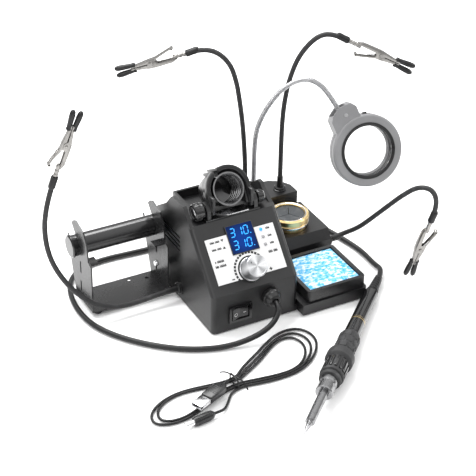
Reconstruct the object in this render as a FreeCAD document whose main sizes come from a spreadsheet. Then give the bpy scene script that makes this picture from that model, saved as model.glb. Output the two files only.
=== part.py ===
import FreeCAD, Part
import math
import os
import re
import Sketcher

# Compact soldering station with helping arms, magnifier and spool stand.
# Frame: X right, Y back, Z up; the origin is under the middle of the housing.

doc = FreeCAD.newDocument("SolderingStation")
os.makedirs("parts", exist_ok=True)
V = FreeCAD.Vector

# ---------------------------------------------------------------- dimensions
SIZES = {
    # housing
    "foot_high": 1.5, "hous_wide": 96, "hous_deep": 124, "hous_base": 8, "knee_high": 44.5,
    "ridge_back": 49, "ridge_high": 99, "wall": 2.5, "rear_high": 84, "flat_end": 102,
    "inlet_across": -12, "inlet_up": 34,
    "recess_wide": 60, "recess_high": 90, "cheek_high": 114, "cheek_thick": 4,
    # decks on the right
    "deck_right": "hous_wide/2+78", "deck_front": 4, "low_deck": 37, "low_deck_end": 61,
    "high_deck": 57, "high_deck_end": 96, "high_deck_right": "hous_wide/2+69", "deck_round": 26,
    "base_front": "-hous_deep/2-12", "base_high": 13, "base_right": "hous_wide/2+76",
    # front panel fittings
    "label_wide": 76, "label_high": 46.5, "label_low": 10.6, "label_thick": 0.6,
    "disp_wide": 28.5, "disp_high": 28, "disp_left": -13.2, "disp_low": 36.3,
    "led_across": 23.2, "led_up": 38, "led_pitch": 7.7, "led_rad": 1.7,
    "knob_up": 18.2, "knob_rad": 12.3, "knob_tall": 21.5, "recess_rad": 13, "recess_deep": 3,
    "rock_wide": 25, "rock_high": 19, "rock_across": -17.8, "rock_up": 19.5,
    "gland_across": 15.5, "gland_up": 29.5, "gland_rad": 9.5,
    # tray, pot
    "tray_side": 67, "tray_left": "hous_wide/2+7", "tray_front": "-hous_deep/2-10", "tray_top": 26,
    "tray_low": 13.4, "tray_rim": 4, "pot_across": "hous_wide/2+43.5", "pot_back": 34.5, "pot_rad": 19.4,
    "pot_ring": "pot_rad+1.9", "pot_open": "pot_rad-2.6", "pot_top": 52, "pot_floor": 14,
    # iron holder
    "pivot_back": -3, "pivot_high": 108, "mouth_back": -3, "mouth_high": 125.2, "tube_rad": 21, "mouth_rad": 24,
    "tube_long": 44, "tube_rise": 30, "bore_rad": 15.4, "tail_rad": 13.5, "yoke_half": 28, "yoke_thick": 4,
    # spool stand
    "plate_right": "-hous_wide/2-7", "plate_left": "plate_right-85", "plate_front": 21, "plate_back": 62,
    "plate_low": 5, "sheet": 1.5, "rod_back": 59.5, "rod_high": 64, "rod_rad": 11,
    # helping arms and magnifier
    "neck_rad": 2.6, "sleeve_rad": 3.6, "socket_rad": 6, "socket_high": 4, "clip_long": 58,
    "boot_long": 16, "mag_neck_rad": 2.6, "ring_rad": 38, "ring_deep": 15, "lens_rad": 25,
    # iron
    "iron_flange_rad": 13.6, "cord_rad": 2.8,
}
sheet = doc.addObject("Spreadsheet::Sheet", "Dims")
for row, (word, number) in enumerate(SIZES.items(), start=1):
    sheet.set(f"A{row}", word)
    sheet.set(f"B{row}", "=" + number if isinstance(number, str) else str(number))
    sheet.setAlias(f"B{row}", word)
doc.recompute()

WORD = re.compile(r"\b(" + "|".join(SIZES) + r")\b")


def size(word):
    return float(sheet.get(word))


def bound(text):
    """The expression with every dimension word pointed at the sheet."""
    return WORD.sub(r"Dims.\1", str(text))


SHEET_VALUES = {}
TOKEN = re.compile(r"\s*([-+*/()]|[0-9.]+|[a-z_]+)")


def value(text):
    """The number that a plain arithmetic expression of dimension words stands for."""
    tokens = TOKEN.findall(str(text))

    def atom():
        head = tokens.pop(0)
        if head == "(":
            inner = total()
            tokens.pop(0)
            return inner
        if head == "-":
            return -atom()
        if head in SHEET_VALUES:
            return SHEET_VALUES[head]
        return float(head)

    def product():
        result = atom()
        while tokens and tokens[0] in "*/":
            if tokens.pop(0) == "*":
                result *= atom()
            else:
                result /= atom()
        return result

    def total():
        result = product()
        while tokens and tokens[0] in "+-":
            if tokens.pop(0) == "+":
                result += product()
            else:
                result -= product()
        return result

    return total()


# ---------------------------------------------------------------- makers
for word, number in SIZES.items():
    SHEET_VALUES[word] = value(number) if isinstance(number, str) else float(number)


def place(obj, at, turn=None):
    rotation = turn if turn else FreeCAD.Rotation()
    obj.Placement = FreeCAD.Placement(V(*[value(a) for a in at]), rotation)
    for letter, text in zip("xyz", at):
        obj.setExpression(f"Placement.Base.{letter}", bound(text))
    return obj


def box(name, sides, at):
    obj = doc.addObject("Part::Box", name)
    for prop, text in zip(("Length", "Width", "Height"), sides):
        obj.setExpression(prop, bound(text))
    return place(obj, at)


UP = FreeCAD.Rotation()
TO_RIGHT = FreeCAD.Rotation(V(0, 1, 0), 90)
TO_FRONT = FreeCAD.Rotation(V(1, 0, 0), 90)
TO_BACK = FreeCAD.Rotation(V(1, 0, 0), -90)
TO_LEFT = FreeCAD.Rotation(V(0, 1, 0), -90)


def cyl(name, radius, height, at, turn=UP):
    obj = doc.addObject("Part::Cylinder", name)
    obj.setExpression("Radius", bound(radius))
    obj.setExpression("Height", bound(height))
    return place(obj, at, turn)


PLANES = {"XY": 3, "XZ": 4, "YZ": 5}


def sketched(name, plane, points):
    """A body with a closed sketch whose every corner is bound to the sheet."""
    body = doc.addObject("PartDesign::Body", name)
    sketch = body.newObject("Sketcher::SketchObject", name + "_outline")
    sketch.AttachmentSupport = (body.Origin.OriginFeatures[PLANES[plane]], [""])
    sketch.MapMode = "FlatFace"
    corners = [(value(a), value(b)) for a, b in points]
    count = len(corners)
    for i in range(count):
        start = V(*corners[i], 0)
        end = V(*corners[(i + 1) % count], 0)
        sketch.addGeometry(Part.LineSegment(start, end), False)
    for i in range(count):
        sketch.addConstraint(Sketcher.Constraint("Coincident", i, 2, (i + 1) % count, 1))
    for i in range(count):
        for axis, kind in enumerate(("DistanceX", "DistanceY")):
            number = sketch.addConstraint(
                Sketcher.Constraint(kind, -1, 1, i, 1, corners[i][axis]))
            sketch.setExpression(f"Constraints[{number}]", bound(points[i][axis]))
    return body, sketch


def prism(name, plane, points, thick, at=("0", "0", "0"), turn=None, both=False):
    body, sketch = sketched(name, plane, points)
    pad = body.newObject("PartDesign::Pad", name + "_pad")
    pad.Profile = sketch
    pad.setExpression("Length", bound(thick))
    pad.Midplane = both
    return place(body, at, turn)


def turned(name, points, at=("0", "0", "0"), turn=None):
    """A body turned about its own Z axis; the points are (radius, height)."""
    body, sketch = sketched(name, "XZ", points)
    spin = body.newObject("PartDesign::Revolution", name + "_spin")
    spin.Profile = sketch
    spin.ReferenceAxis = (sketch, ["V_Axis"])
    spin.Angle = 360
    return place(body, at, turn)


def cut(name, base, *tools):
    for number, tool in enumerate(tools):
        last = number == len(tools) - 1
        obj = doc.addObject("Part::Cut", name if last else f"{name}_cut{number}")
        obj.Base = base
        obj.Tool = tool
        base = obj
    return base


def fuse(name, *shapes):
    obj = doc.addObject("Part::MultiFuse", name)
    obj.Shapes = list(shapes)
    return obj


def group(name, *shapes):
    obj = doc.addObject("Part::Compound", name)
    obj.Links = list(shapes)
    return obj


def solid(name, shape, at=None):
    obj = doc.addObject("Part::Feature", name)
    obj.Shape = shape
    if at:
        obj.Placement = at
    return obj


def rounded(name, base, radius, wanted):
    """Fillets the edges of base for which wanted(start, end) is true."""
    doc.recompute()
    chosen = []
    for number, edge in enumerate(base.Shape.Edges, start=1):
        if len(edge.Vertexes) == 2:
            start, end = (v.Point for v in edge.Vertexes)
            if wanted(start, end):
                chosen.append((number, radius, radius))
    obj = doc.addObject("Part::Fillet", name)
    obj.Base = base
    obj.Edges = chosen
    doc.recompute()
    return obj


def upright_edge(start, end):
    return abs(start.x - end.x) < 0.01 and abs(start.y - end.y) < 0.01


NODES = {}


def node(name, obj):
    obj.Label = name
    NODES[name] = obj
    return obj


# ---------------------------------------------------------------- base and housing
half = "hous_wide/2"
front = "-hous_deep/2"
back = "hous_deep/2"


FEET = ((0, 0), (-38, -50), (-38, 50), (112, -60), (100, 80))


def base_plate():
    outline = [("-" + half, front), (half, front), (half, "base_front"),
               ("base_right", "base_front"), ("deck_right", "high_deck_end-deck_round"),
               ("high_deck_right", "high_deck_end-deck_round"), ("high_deck_right", "high_deck_end-6"),
               ("high_deck_right-deck_round", "high_deck_end"), ("20", "high_deck_end"),
               ("20", back), ("-" + half, back)]
    slab = prism("base_slab", "XY", outline, "hous_base-foot_high", at=("0", "0", "foot_high"))
    shelf = prism("base_shelf", "XY", [
        (half, "base_front"), ("base_right", "base_front"), ("base_right", "deck_front-2"),
        (half, "deck_front-2")], "base_high-hous_base", at=("0", "0", "hous_base"))
    slab = rounded("base_slab_soft", slab, 5, lambda a, b: upright_edge(a, b)
                   and (a.y < size("base_front") + 1 and a.x > 100 or a.x < 0))
    shelf = rounded("base_shelf_soft", shelf, 5, lambda a, b: upright_edge(a, b)
                    and a.y < size("base_front") + 1 and a.x > 100)
    soft = fuse("base_rough", slab, shelf)
    foot_well = [cyl(f"foot_well_{i}", 6.1, 1, (x, y, "foot_high")) for i, (x, y) in enumerate(FEET)]
    node("base_plate", cut("base_plate", soft, *foot_well))
    feet = [turned(f"foot_{i}", [(0, 0), (5, 0), (6, "foot_high"), (6, "foot_high+0.9"),
            (0, "foot_high+0.9")], at=(x, y, 0)) for i, (x, y) in enumerate(FEET)]
    node("rubber_feet", group("rubber_feet", *feet))


def panel_point(up, proud=0.0):
    """Height along the sloping panel, and how far out of it, as (y, z)."""
    run = size("ridge_back")
    rise = size("ridge_high") - size("knee_high")
    slope = math.hypot(run, rise)
    y = -size("hous_deep") / 2 + run / slope * up - rise / slope * proud
    z = size("knee_high") + rise / slope * up + run / slope * proud
    return y, z


PANEL_TILT = math.degrees(math.atan2(size("ridge_high") - size("knee_high"), size("ridge_back")))
PANEL = FreeCAD.Rotation(V(1, 0, 0), PANEL_TILT)


def panel_box(name, wide, high, deep, left, low, sunk):
    """A box on the panel; sunk is how far its back lies under the panel's face."""
    obj = doc.addObject("Part::Box", name)
    obj.setExpression("Length", bound(wide))
    obj.setExpression("Width", bound(high))
    obj.setExpression("Height", bound(deep))
    y, z = panel_point(value(low), -value(sunk))
    obj.Placement = FreeCAD.Placement(V(value(left), y, z), PANEL)
    obj.setExpression("Placement.Base.x", bound(left))
    return obj


def panel_cyl(name, radius, height, across, up, sunk):
    obj = doc.addObject("Part::Cylinder", name)
    obj.setExpression("Radius", bound(radius))
    obj.setExpression("Height", bound(height))
    y, z = panel_point(value(up), -value(sunk))
    obj.Placement = FreeCAD.Placement(V(value(across), y, z), PANEL)
    return obj


INLET_SCREWS = ("inlet_across-18.5", "inlet_across+18.5")
SIDE_SCREW = ("48.5", "24")


def housing():
    side = [(front, "hous_base"), (front, "knee_high"), (front + "+ridge_back", "ridge_high"),
            (front + "+flat_end", "ridge_high"), (back, "rear_high"), (back, "hous_base")]
    outer = prism("shell_outer", "YZ", side, "hous_wide", at=("-" + half, "0", "0"))
    outer = rounded("shell_soft", outer, 5, lambda a, b: upright_edge(a, b) and a.y < 0
                    or abs(a.x - b.x) < 0.01 and max(a.y, b.y) < -size("hous_deep") / 2 + 50)
    inside = [(front + "+wall", "hous_base-1"), (front + "+wall", "knee_high-1"),
              (front + "+ridge_back+1", "ridge_high-wall"),
              (front + "+flat_end-1", "ridge_high-wall"), (back + "-wall", "rear_high-wall"),
              (back + "-wall", "hous_base-1")]
    hollow = prism("shell_hollow", "YZ", inside, "hous_wide-2*wall", at=("-" + half + "+wall", "0", "0"))
    shell = cut("shell_open", outer, hollow)
    # sunk floor under the iron holder
    well = box("well_block", ("recess_wide+2*wall", "58", "ridge_high-recess_high+2"),
               ("-recess_wide/2-wall", "-1", "recess_high-2"))
    left_cheek = prism("left_cheek", "YZ", [("-14", "97"), ("0", "cheek_high-2"), ("3", "cheek_high"),
                       ("26", "cheek_high"), ("30", "cheek_high-3"), ("47", "91")],
                       "cheek_thick", at=("-" + half, "0", "0"))
    right_cheek = prism("right_cheek", "YZ", [("-10", "97"), ("10", "cheek_high-6"), ("14", "cheek_high-2"),
                        ("20", "cheek_high-2"), ("24", "cheek_high-6"), ("40", "97")],
                        "cheek_thick", at=(half + "-cheek_thick", "0", "0"))
    body = fuse("shell_body", shell, well, left_cheek, right_cheek)
    well_room = box("well_room", ("recess_wide", "53", "40"), ("-recess_wide/2", "1.5", "recess_high"))
    disp = panel_box("disp_hole", "disp_wide+0.4", "disp_high+0.4", 12, "disp_left-0.2",
                     "disp_low-0.2", 6)
    knob_well = panel_cyl("knob_well", "recess_rad", 10, 0, "knob_up", 8)
    leds = [panel_cyl(f"led_hole_{i}", "led_rad+0.1", 12, "led_across", f"led_up+{i}*led_pitch", 6)
            for i in range(3)]
    rocker_hole = box("rocker_hole", ("rock_wide-3", "8", "rock_high-3"),
                      ("rock_across-rock_wide/2+1.5", front + "-2", "rock_up-rock_high/2+1.5"))
    gland_hole = cyl("gland_hole", 6.2, 12, ("gland_across", front + "+6", "gland_up"), TO_FRONT)
    gland_hole.Placement.Rotation = TO_FRONT
    inlet_hole = box("inlet_hole", (27.4, 8, 19.4), ("inlet_across-13.7", back + "-5", "inlet_up-9.7"))
    screw_holes = [cyl(f"inlet_screw_hole_{i}", 1.65, 8, (x, back + "+2", "inlet_up"), TO_FRONT)
                   for i, x in enumerate(INLET_SCREWS)]
    screw_holes.append(cyl("side_screw_hole", 1.6, 8, ("-(" + half + ")-3", *SIDE_SCREW), TO_RIGHT))
    arm_hole = cyl("arm_one_hole", 3.8, 10, ("-" + half + "-3", 10.5, 14), TO_RIGHT)
    vents = [box(f"vent_{i}", (8, 40, 2), ("-" + half + "-4", "10", f"58+{i}*5")) for i in range(4)]
    body = cut("housing", body, well_room, disp, knob_well, *leds, rocker_hole, gland_hole,
               inlet_hole, arm_hole, *screw_holes, *vents)
    node("housing", body)


DECK_HOLES = (("hous_wide/2+18", 85), ("hous_wide/2+20", 70), ("hous_wide/2+54", 73))


def deck_block():
    low = prism("deck_low", "YZ", [("deck_front", "hous_base+0.02"), ("deck_front", 26),
                ("deck_front+6", "low_deck"), ("high_deck_end-deck_round-1", "low_deck"),
                ("high_deck_end-deck_round-1", "hous_base+0.02")],
                "deck_right-hous_wide/2-0.1", at=(half + "+0.1", "0", "0"))
    high = prism("deck_high", "XY", [("20", back + "+0.1"), (half + "+0.1", back + "+0.1"),
                 (half + "+0.1", "low_deck_end"), ("high_deck_right", "low_deck_end"),
                 ("high_deck_right", "high_deck_end-20"), ("high_deck_right-6", "high_deck_end-9"),
                 ("high_deck_right-18", "high_deck_end-2"), ("high_deck_right-30", "high_deck_end"),
                 ("20", "high_deck_end")], "high_deck-hous_base-0.02", at=("0", "0", "hous_base+0.02"))
    body = fuse("deck_rough", low, high)
    pot_room = cyl("pot_room", "pot_rad+0.6", 60, ("pot_across", "pot_back", "pot_floor-0.3"))
    holes = [cyl(f"deck_hole_{i}", 3.8, 12, (x, y, "high_deck-8"))
             for i, (x, y) in enumerate(DECK_HOLES)]
    side_hole = cyl("deck_side_hole", 3.8, 12, ("deck_right-8", 12, 20), TO_RIGHT)
    node("deck_block", cut("deck_block", body, pot_room, *holes, side_hole))


def panel_fittings():
    label = panel_box("label_plate", "label_wide", "label_high", "label_thick+0.2", "-label_wide/2",
                      "label_low", -0.02)
    disp_gap = panel_box("label_disp_gap", "disp_wide+0.4", "disp_high+0.4", 4, "disp_left-0.2",
                         "disp_low-0.2", 1)
    knob_gap = panel_cyl("label_knob_gap", "recess_rad", 4, 0, "knob_up", 1)
    led_gaps = [panel_cyl(f"label_led_gap_{i}", "led_rad+0.1", 4, "led_across",
                          f"led_up+{i}*led_pitch", 1) for i in range(3)]
    node("panel_label", cut("panel_label", label, disp_gap, knob_gap, *led_gaps))
    node("display_window", panel_box("display_window", "disp_wide", "disp_high", 7, "disp_left",
                                     "disp_low", 5.5))
    leds = []
    for i in range(3):
        stem = panel_cyl(f"led_stem_{i}", "led_rad", 5.4, "led_across", f"led_up+{i}*led_pitch", 4.4)
        leds.append(stem)
    node("status_leds", group("status_leds", *leds))


def knob():
    y, z = panel_point(size("knob_up"), -size("recess_deep"))
    tall = "knob_tall"
    profile = [(3.2, "recess_deep-2"), (3.2, "recess_deep-4.5+8"), (0, "recess_deep+4"), (0, tall),
               ("knob_rad-2.4", tall), ("knob_rad-1.4", tall + "-1"),
               ("knob_rad-0.6", "recess_deep+3"), ("knob_rad", "recess_deep+1.5"),
               ("knob_rad", "recess_deep-2")]
    body = turned("knob", profile, turn=PANEL)
    body.Placement.Base = V(0, y, z)
    body.setExpression("Placement.Base.y", None)
    body.setExpression("Placement.Base.z", None)
    node("knob", body)
    return y, z


def rocker():
    frame = box("rocker_bezel", ("rock_wide", "2", "rock_high"),
                ("rock_across-rock_wide/2", front + "-2.02", "rock_up-rock_high/2"))
    sleeve = box("rocker_sleeve", ("rock_wide-3.4", "14", "rock_high-3.4"),
                 ("rock_across-rock_wide/2+1.7", front + "-0.1", "rock_up-rock_high/2+1.7"))
    hole = box("rocker_room", ("rock_wide-5.6", "11", "rock_high-5.6"),
               ("rock_across-rock_wide/2+2.8", front + "-3", "rock_up-rock_high/2+2.8"))
    node("rocker_frame", cut("rocker_frame", fuse("rocker_shell", frame, sleeve), hole))
    wing = "rock_wide/2-3.6"
    paddle = prism("rocker", "XY", [("-(" + wing + ")", "-2.4"), ("0", "-0.4"), (wing, "-0.6"),
                   (wing, "3.2"), ("0", "5"), ("-(" + wing + ")", "3.2")], "rock_high-6.4",
                   at=("rock_across", front, "rock_up-rock_high/2+3.2"))
    node("rocker", paddle)


def gland():
    nut = [(3.4, 0.02), (7.2, 0.02), ("gland_rad", 0.6), ("gland_rad", 5), ("gland_rad-0.8", 6),
           ("gland_rad-1.4", 8), ("gland_rad-3.2", 11.5), (4.6, 12.5), (3.4, 12.5)]
    dome = turned("gland_dome", nut, at=("gland_across", front, "gland_up"), turn=TO_FRONT)
    tail = turned("gland_tail", [(3.4, -9), (6, -9), (6, 0.02), (3.4, 0.02)],
                  at=("gland_across", front, "gland_up"), turn=TO_FRONT)
    node("cord_gland", fuse("cord_gland", dome, tail))


def insides():
    core = box("core_block", (40, 32, 42), ("-hous_wide/2+5", 10, "hous_base+0.02"))
    coil = box("coil_block", (24, 44, 28), ("-hous_wide/2+13", 4, "hous_base+7"))
    node("transformer", fuse("transformer", core, coil))
    board = box("main_board", (42, 70, 1.6), (2, -30, "hous_base+6"))
    posts = [box(f"board_post_{i}", (4, 4, 6), (x, y, "hous_base+0.02"))
             for i, (x, y) in enumerate(((4, -28), (38, -28), (4, 34), (38, 34)))]
    chips = [box(f"chip_{i}", (9, 9, 3), (8 + 14 * i, -10, "hous_base+7.5")) for i in range(2)]
    sink = box("heat_sink", (6, 30, 22), (36, 0, "hous_base+7.5"))
    main = fuse("main_board_set", board, *posts, *chips, sink)
    front_board = panel_box("front_board", 70, 48, 1.6, -35, 12, 9)
    encoder = panel_cyl("encoder_can", 6, 4.9, 0, "knob_up", 8.9)
    shaft = panel_cyl("encoder_shaft", 3, 4, 0, "knob_up", 4)
    node("circuit_boards", group("circuit_boards", main, fuse("front_board_set", front_board, encoder,
                                                              shaft)))
    socket = box("inlet_body", (27, 12, 19), ("inlet_across-13.5", back + "-9", "inlet_up-9.5"))
    plate = box("inlet_plate", (46, 2, 23), ("inlet_across-23", back + "+0.02", "inlet_up-11.5"))
    room = box("inlet_room", (20, 9, 12.5), ("inlet_across-10", back + "-4", "inlet_up-6.3"))
    screw_rooms = [cyl(f"inlet_screw_room_{i}", 1.65, 6, (x, back + "+4", "inlet_up"), TO_FRONT)
                   for i, x in enumerate(INLET_SCREWS)]
    pins = [box(f"inlet_pin_{i}", (2, 10, 4.5), (f"inlet_across-1+{x}", back + "-5", f"inlet_up+{up}"))
            for i, (x, up) in enumerate(((-6.5, -3.5), (0, -0.5), (6.5, -3.5)))]
    shell = cut("inlet_shell", fuse("inlet_solid", socket, plate), room, *screw_rooms)
    node("mains_inlet", fuse("mains_inlet", shell, *pins))
    screws = [turned(f"screw_{i}", [(0, -6), (1.6, -6), (1.6, 0.02), (3, 0.02), (2.4, 1.6),
              (0, 1.6)], at=at, turn=turn) for i, (at, turn) in enumerate((
                  ((INLET_SCREWS[0], back + "+2.02", "inlet_up"), TO_BACK),
                  ((INLET_SCREWS[1], back + "+2.02", "inlet_up"), TO_BACK)))]
    side_screw = turned("side_screw", [(0, -12), (1.4, -12), (1.4, 0), (3.2, 0), (2.6, 1.8), (0, 1.8)],
                        at=("plate_right-sheet-0.02", *SIDE_SCREW), turn=TO_LEFT)
    spacer = turned("side_spacer", [(1.6, 0), (4, 0), (4, "-(" + half + ")-plate_right-0.04"),
                    (1.6, "-(" + half + ")-plate_right-0.04")],
                    at=("plate_right+0.02", *SIDE_SCREW), turn=TO_RIGHT)
    node("fixing_screws", group("fixing_screws", *screws, side_screw, spacer))


# ---------------------------------------------------------------- tray and pot
def tray():
    outer = box("tray_outer", ("tray_side", "tray_side", "tray_top-tray_low"),
                ("tray_left", "tray_front", "tray_low"))
    outer = rounded("tray_soft", outer, 4, upright_edge)
    room = box("tray_room", ("tray_side-2*tray_rim", "tray_side-2*tray_rim", "20"),
               ("tray_left+tray_rim", "tray_front+tray_rim", "tray_low+2"))
    node("sponge_tray", cut("sponge_tray", outer, room))
    node("sponge", box("sponge", ("tray_side-2*tray_rim-0.8", "tray_side-2*tray_rim-0.8",
                                  "tray_top-tray_low-3.2"),
                       ("tray_left+tray_rim+0.4", "tray_front+tray_rim+0.4", "tray_low+2.02")))


def pot():
    at = ("pot_across", "pot_back", "0")
    cup = [(0, "pot_floor"), ("pot_rad", "pot_floor"), ("pot_rad", "pot_top-11"),
           ("pot_ring-0.6", "pot_top-10.4"), ("pot_ring-0.6", "pot_top-9"), ("pot_rad+0.6", "pot_top-8.6"),
           ("pot_ring", "pot_top-6"), ("pot_ring", "pot_top-1"), ("pot_ring-1.2", "pot_top"),
           ("pot_open+0.8", "pot_top"), ("pot_open", "pot_top-0.8"), ("pot_open", "pot_floor+2"),
           (0, "pot_floor+2")]
    node("pot_cup", turned("pot_cup", cup, at=at))
    disc = cyl("membrane_disc", "pot_open-0.02", "0.8", ("pot_across", "pot_back", "pot_top-3"))
    slits = []
    for i in range(3):
        slit = box(f"membrane_slit_{i}", (12, 0.5, 3), ("pot_across", "pot_back", "pot_top-4"))
        slit.Placement.Rotation = FreeCAD.Rotation(V(0, 0, 1), 62 + 120 * i)
        slits.append(slit)
    slits.append(cyl("membrane_eye", 0.8, 3, ("pot_across", "pot_back", "pot_top-4")))
    node("pot_membrane", cut("pot_membrane", disc, *slits))
    node("pot_wool", turned("pot_wool", [(0, "pot_floor+2.02"), ("pot_open-1", "pot_floor+2.02"),
         ("pot_open-0.6", "pot_floor+12"), ("pot_open-2", "pot_top-9"), ("6", "pot_top-6.5"),
         (0, "pot_top-6")], at=at))


# ---------------------------------------------------------------- iron holder
def holder():
    rise = size("tube_rise")
    lean = FreeCAD.Rotation(V(1, 0, 0), 90 - rise)
    mouth = V(0, size("mouth_back"), size("mouth_high"))
    long = size("tube_long")
    along = lean.multVec(V(0, 0, 1))
    tail = mouth - along * long
    barrel = turned("barrel_shell", [("bore_rad+1.6", "tube_long"), ("bore_rad+1.6", 14),
                    ("tail_rad-2", 4), ("tail_rad-2", 0), ("tail_rad", 0), ("tail_rad+1", 3),
                    ("tube_rad-1", 18), ("tube_rad", "tube_long-8"), ("mouth_rad", "tube_long-6"),
                    ("mouth_rad", "tube_long")], turn=lean)
    barrel.Placement.Base = tail
    for letter in "xyz":
        barrel.setExpression(f"Placement.Base.{letter}", None)
    slot = doc.addObject("Part::Box", "barrel_slot")
    slot.Length = 5
    slot.Width = 40
    slot.Height = 50
    slot.Placement = FreeCAD.Placement(tail + lean.multVec(V(-12.4, 6, 16)), lean)
    ears = []
    for i, sign in enumerate((-1, 1)):
        ear = prism(f"ear_{i}", "YZ", [("-13", "112"), ("-8", "104.5"), ("3", "104.5"), ("14", "111"),
                    ("10", "120"), ("-12", "124")], 4.9,
                    at=("-mouth_rad+0.6" if sign < 0 else "mouth_rad-5.5", "0", "0"))
        ears.append(ear)
    bore = turned("barrel_bore", [(0, -2), ("tail_rad-2", -2), ("tail_rad-2", 4), ("bore_rad+1.6", 14),
                  ("bore_rad+1.6", "tube_long+2"), (0, "tube_long+2")], turn=lean)
    bore.Placement.Base = tail
    for letter in "xyz":
        bore.setExpression(f"Placement.Base.{letter}", None)
    pin_hole = cyl("ear_hole", 2.6, 80, (-40, "pivot_back", "pivot_high"), TO_RIGHT)
    chin = box("barrel_chin", (32, 30, 14), (-16, -22, 97))
    whole = cut("holder_barrel", fuse("barrel_all", barrel, *ears), bore, slot, pin_hole, chin)
    node("holder_barrel", whole)
    ribs = []
    for i in range(6):
        low = 16 + 4.4 * i
        ribs += [("bore_rad", low), ("bore_rad-1.4", low + 1.4), ("bore_rad-1.4", low + 2.6)]
    liner = [("bore_rad+1.4", 15), ("bore_rad", 15)] + ribs + [("bore_rad", "tube_long-1"),
            ("bore_rad+1.4", "tube_long-1")]
    sleeve = turned("holder_liner", liner, turn=lean)
    sleeve.Placement.Base = tail
    for letter in "xyz":
        sleeve.setExpression(f"Placement.Base.{letter}", None)
    node("holder_liner", sleeve)
    arms = []
    for i, sign in enumerate((-1, 1)):
        left = "-yoke_half-yoke_thick+4" if sign < 0 else "yoke_half-4"
        arms.append(prism(f"yoke_arm_{i}", "YZ", [("-12", "ridge_high+0.02"), ("-11", 110), ("-7", 115),
                          ("1", 115), ("5", 110), ("8", "ridge_high+0.02")], "yoke_thick",
                          at=(left, "0", "0")))
    bridge = box("yoke_bridge", ("2*yoke_half+4", "9", "2"), ("-yoke_half-2", "-12.5", "ridge_high+0.02"))
    pin_room = cyl("yoke_hole", 2.5, 80, (-40, "pivot_back", "pivot_high"), TO_RIGHT)
    node("holder_yoke", cut("holder_yoke", fuse("yoke_all", *arms, bridge), pin_room))
    knobs = []
    for i, (sign, rad, long_out) in enumerate(((-1, 8.6, 12), (1, 6.2, 10))):
        turn = FreeCAD.Rotation(V(0, 1, 0), 90 * sign)
        knobs.append(turned(f"thumb_{i}", [(0, 19), (2.4, 19), (2.4, 28.3), (rad * 0.55, 28.3),
                     (rad * 0.55, 30), (rad, 30.6), (rad, 28 + long_out - 1), (rad - 1, 28 + long_out),
                     (0, 28 + long_out)], at=("0", "pivot_back", "pivot_high"), turn=turn))
    node("holder_knobs", group("holder_knobs", *knobs))
    node("heat_plate", prism("heat_plate", "XY", [(-17.5, -1), (-17.5, -4), (-5, -12.4), (17.5, -12.4),
         (17.5, -1)], 1, at=("0", "0", "ridge_high+2.04")))


# ---------------------------------------------------------------- spool stand
def spool_stand():
    deep = "plate_back-plate_front"
    plate = box("stand_plate", ("plate_right-plate_left", deep, "sheet"),
                ("plate_left", "plate_front", "plate_low"))
    slot_half = size("rod_rad") + 0.4
    cy, cz = size("rod_back"), size("rod_high")
    outline = [("plate_front", "plate_low"), ("plate_front", "59"), ("plate_front+7", "62"),
               ("plate_front+9", "80"), ("plate_front+17", "91"), ("56", "95"), ("62", "92"),
               ("80", "73"), ("79", "66"), ("73", "40"), ("plate_back", "plate_low")]
    walls = []
    for i, left in enumerate(("plate_left", "plate_right-sheet")):
        walls.append(prism(f"stand_wall_{i}", "YZ", outline, "sheet", at=(left, "0", "0")))
    gussets = []
    for i, (left, lean) in enumerate((("plate_left+sheet-0.1", 1), ("plate_right-sheet-9.9", -1))):
        gussets.append(box(f"stand_tab_{i}", (10, 10, "sheet"), (left, "plate_front+9", 57)))
    frame = fuse("stand_rough", plate, *walls, *gussets)
    rod_room = cyl("rod_room", slot_half, 120, ("plate_left-10", "rod_back", "rod_high"), TO_RIGHT)
    mouth = doc.addObject("Part::Box", "rod_mouth")
    mouth.Length = 120
    mouth.Width = 2 * slot_half
    mouth.Height = 50
    tilt = FreeCAD.Rotation(V(1, 0, 0), -45)
    corner = V(size("plate_left") - 10, cy, cz) + tilt.multVec(V(0, -slot_half, 0))
    mouth.Placement = FreeCAD.Placement(corner, tilt)
    slots = []
    for side, left in (("left", "plate_left-2"), ("right", "plate_right-4")):
        for i, (y, z, tall) in enumerate(((46, 38, 14), (47, 16, 12))):
            slots.append(box(f"{side}_slot_{i}", (6, 3, tall), (left, y, z)))
    holes = [cyl(f"plate_hole_{i}", 2, 6, (x, y, 3))
             for i, (x, y) in enumerate(((-128, 56), (-66, 52), (-84, 57)))]
    node("spool_bracket", cut("spool_bracket", frame, rod_room, mouth, *slots, *holes))
    left = "plate_left-4"
    wide = "plate_right-plate_left+8"
    tube = cyl("rod_tube", "rod_rad", wide, (left, "rod_back", "rod_high"), TO_RIGHT)
    bore = cyl("rod_bore", "rod_rad-1.2", wide, (left, "rod_back", "rod_high"), TO_RIGHT)
    hollow = cut("rod_hollow", tube, bore)
    caps = []
    for i, (at, sign) in enumerate(((left, -1), ("plate_right+4", 1))):
        turn = FreeCAD.Rotation(V(0, 1, 0), 90 * sign)
        caps.append(turned(f"rod_cap_{i}", [(0, -5), ("rod_rad-1.2", -5), ("rod_rad-1.2", 0),
                    ("rod_rad+0.9", 0), ("rod_rad+0.9", 1.5), ("rod_rad-0.5", 2.6), (0, 2.6)],
                    at=(at, "rod_back", "rod_high"), turn=turn))
    node("spool_rod", group("spool_rod", hollow, *caps))
    feet = [turned(f"stand_foot_{i}", [(0, 0), (4, 0), (5, 1.5), (5, "plate_low"),
            (0, "plate_low")], at=(x, y, 0))
            for i, (x, y) in enumerate(((-132, 28), (-132, 56), (-63, 28), (-63, 56)))]
    node("spool_feet", group("spool_feet", *feet))


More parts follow.
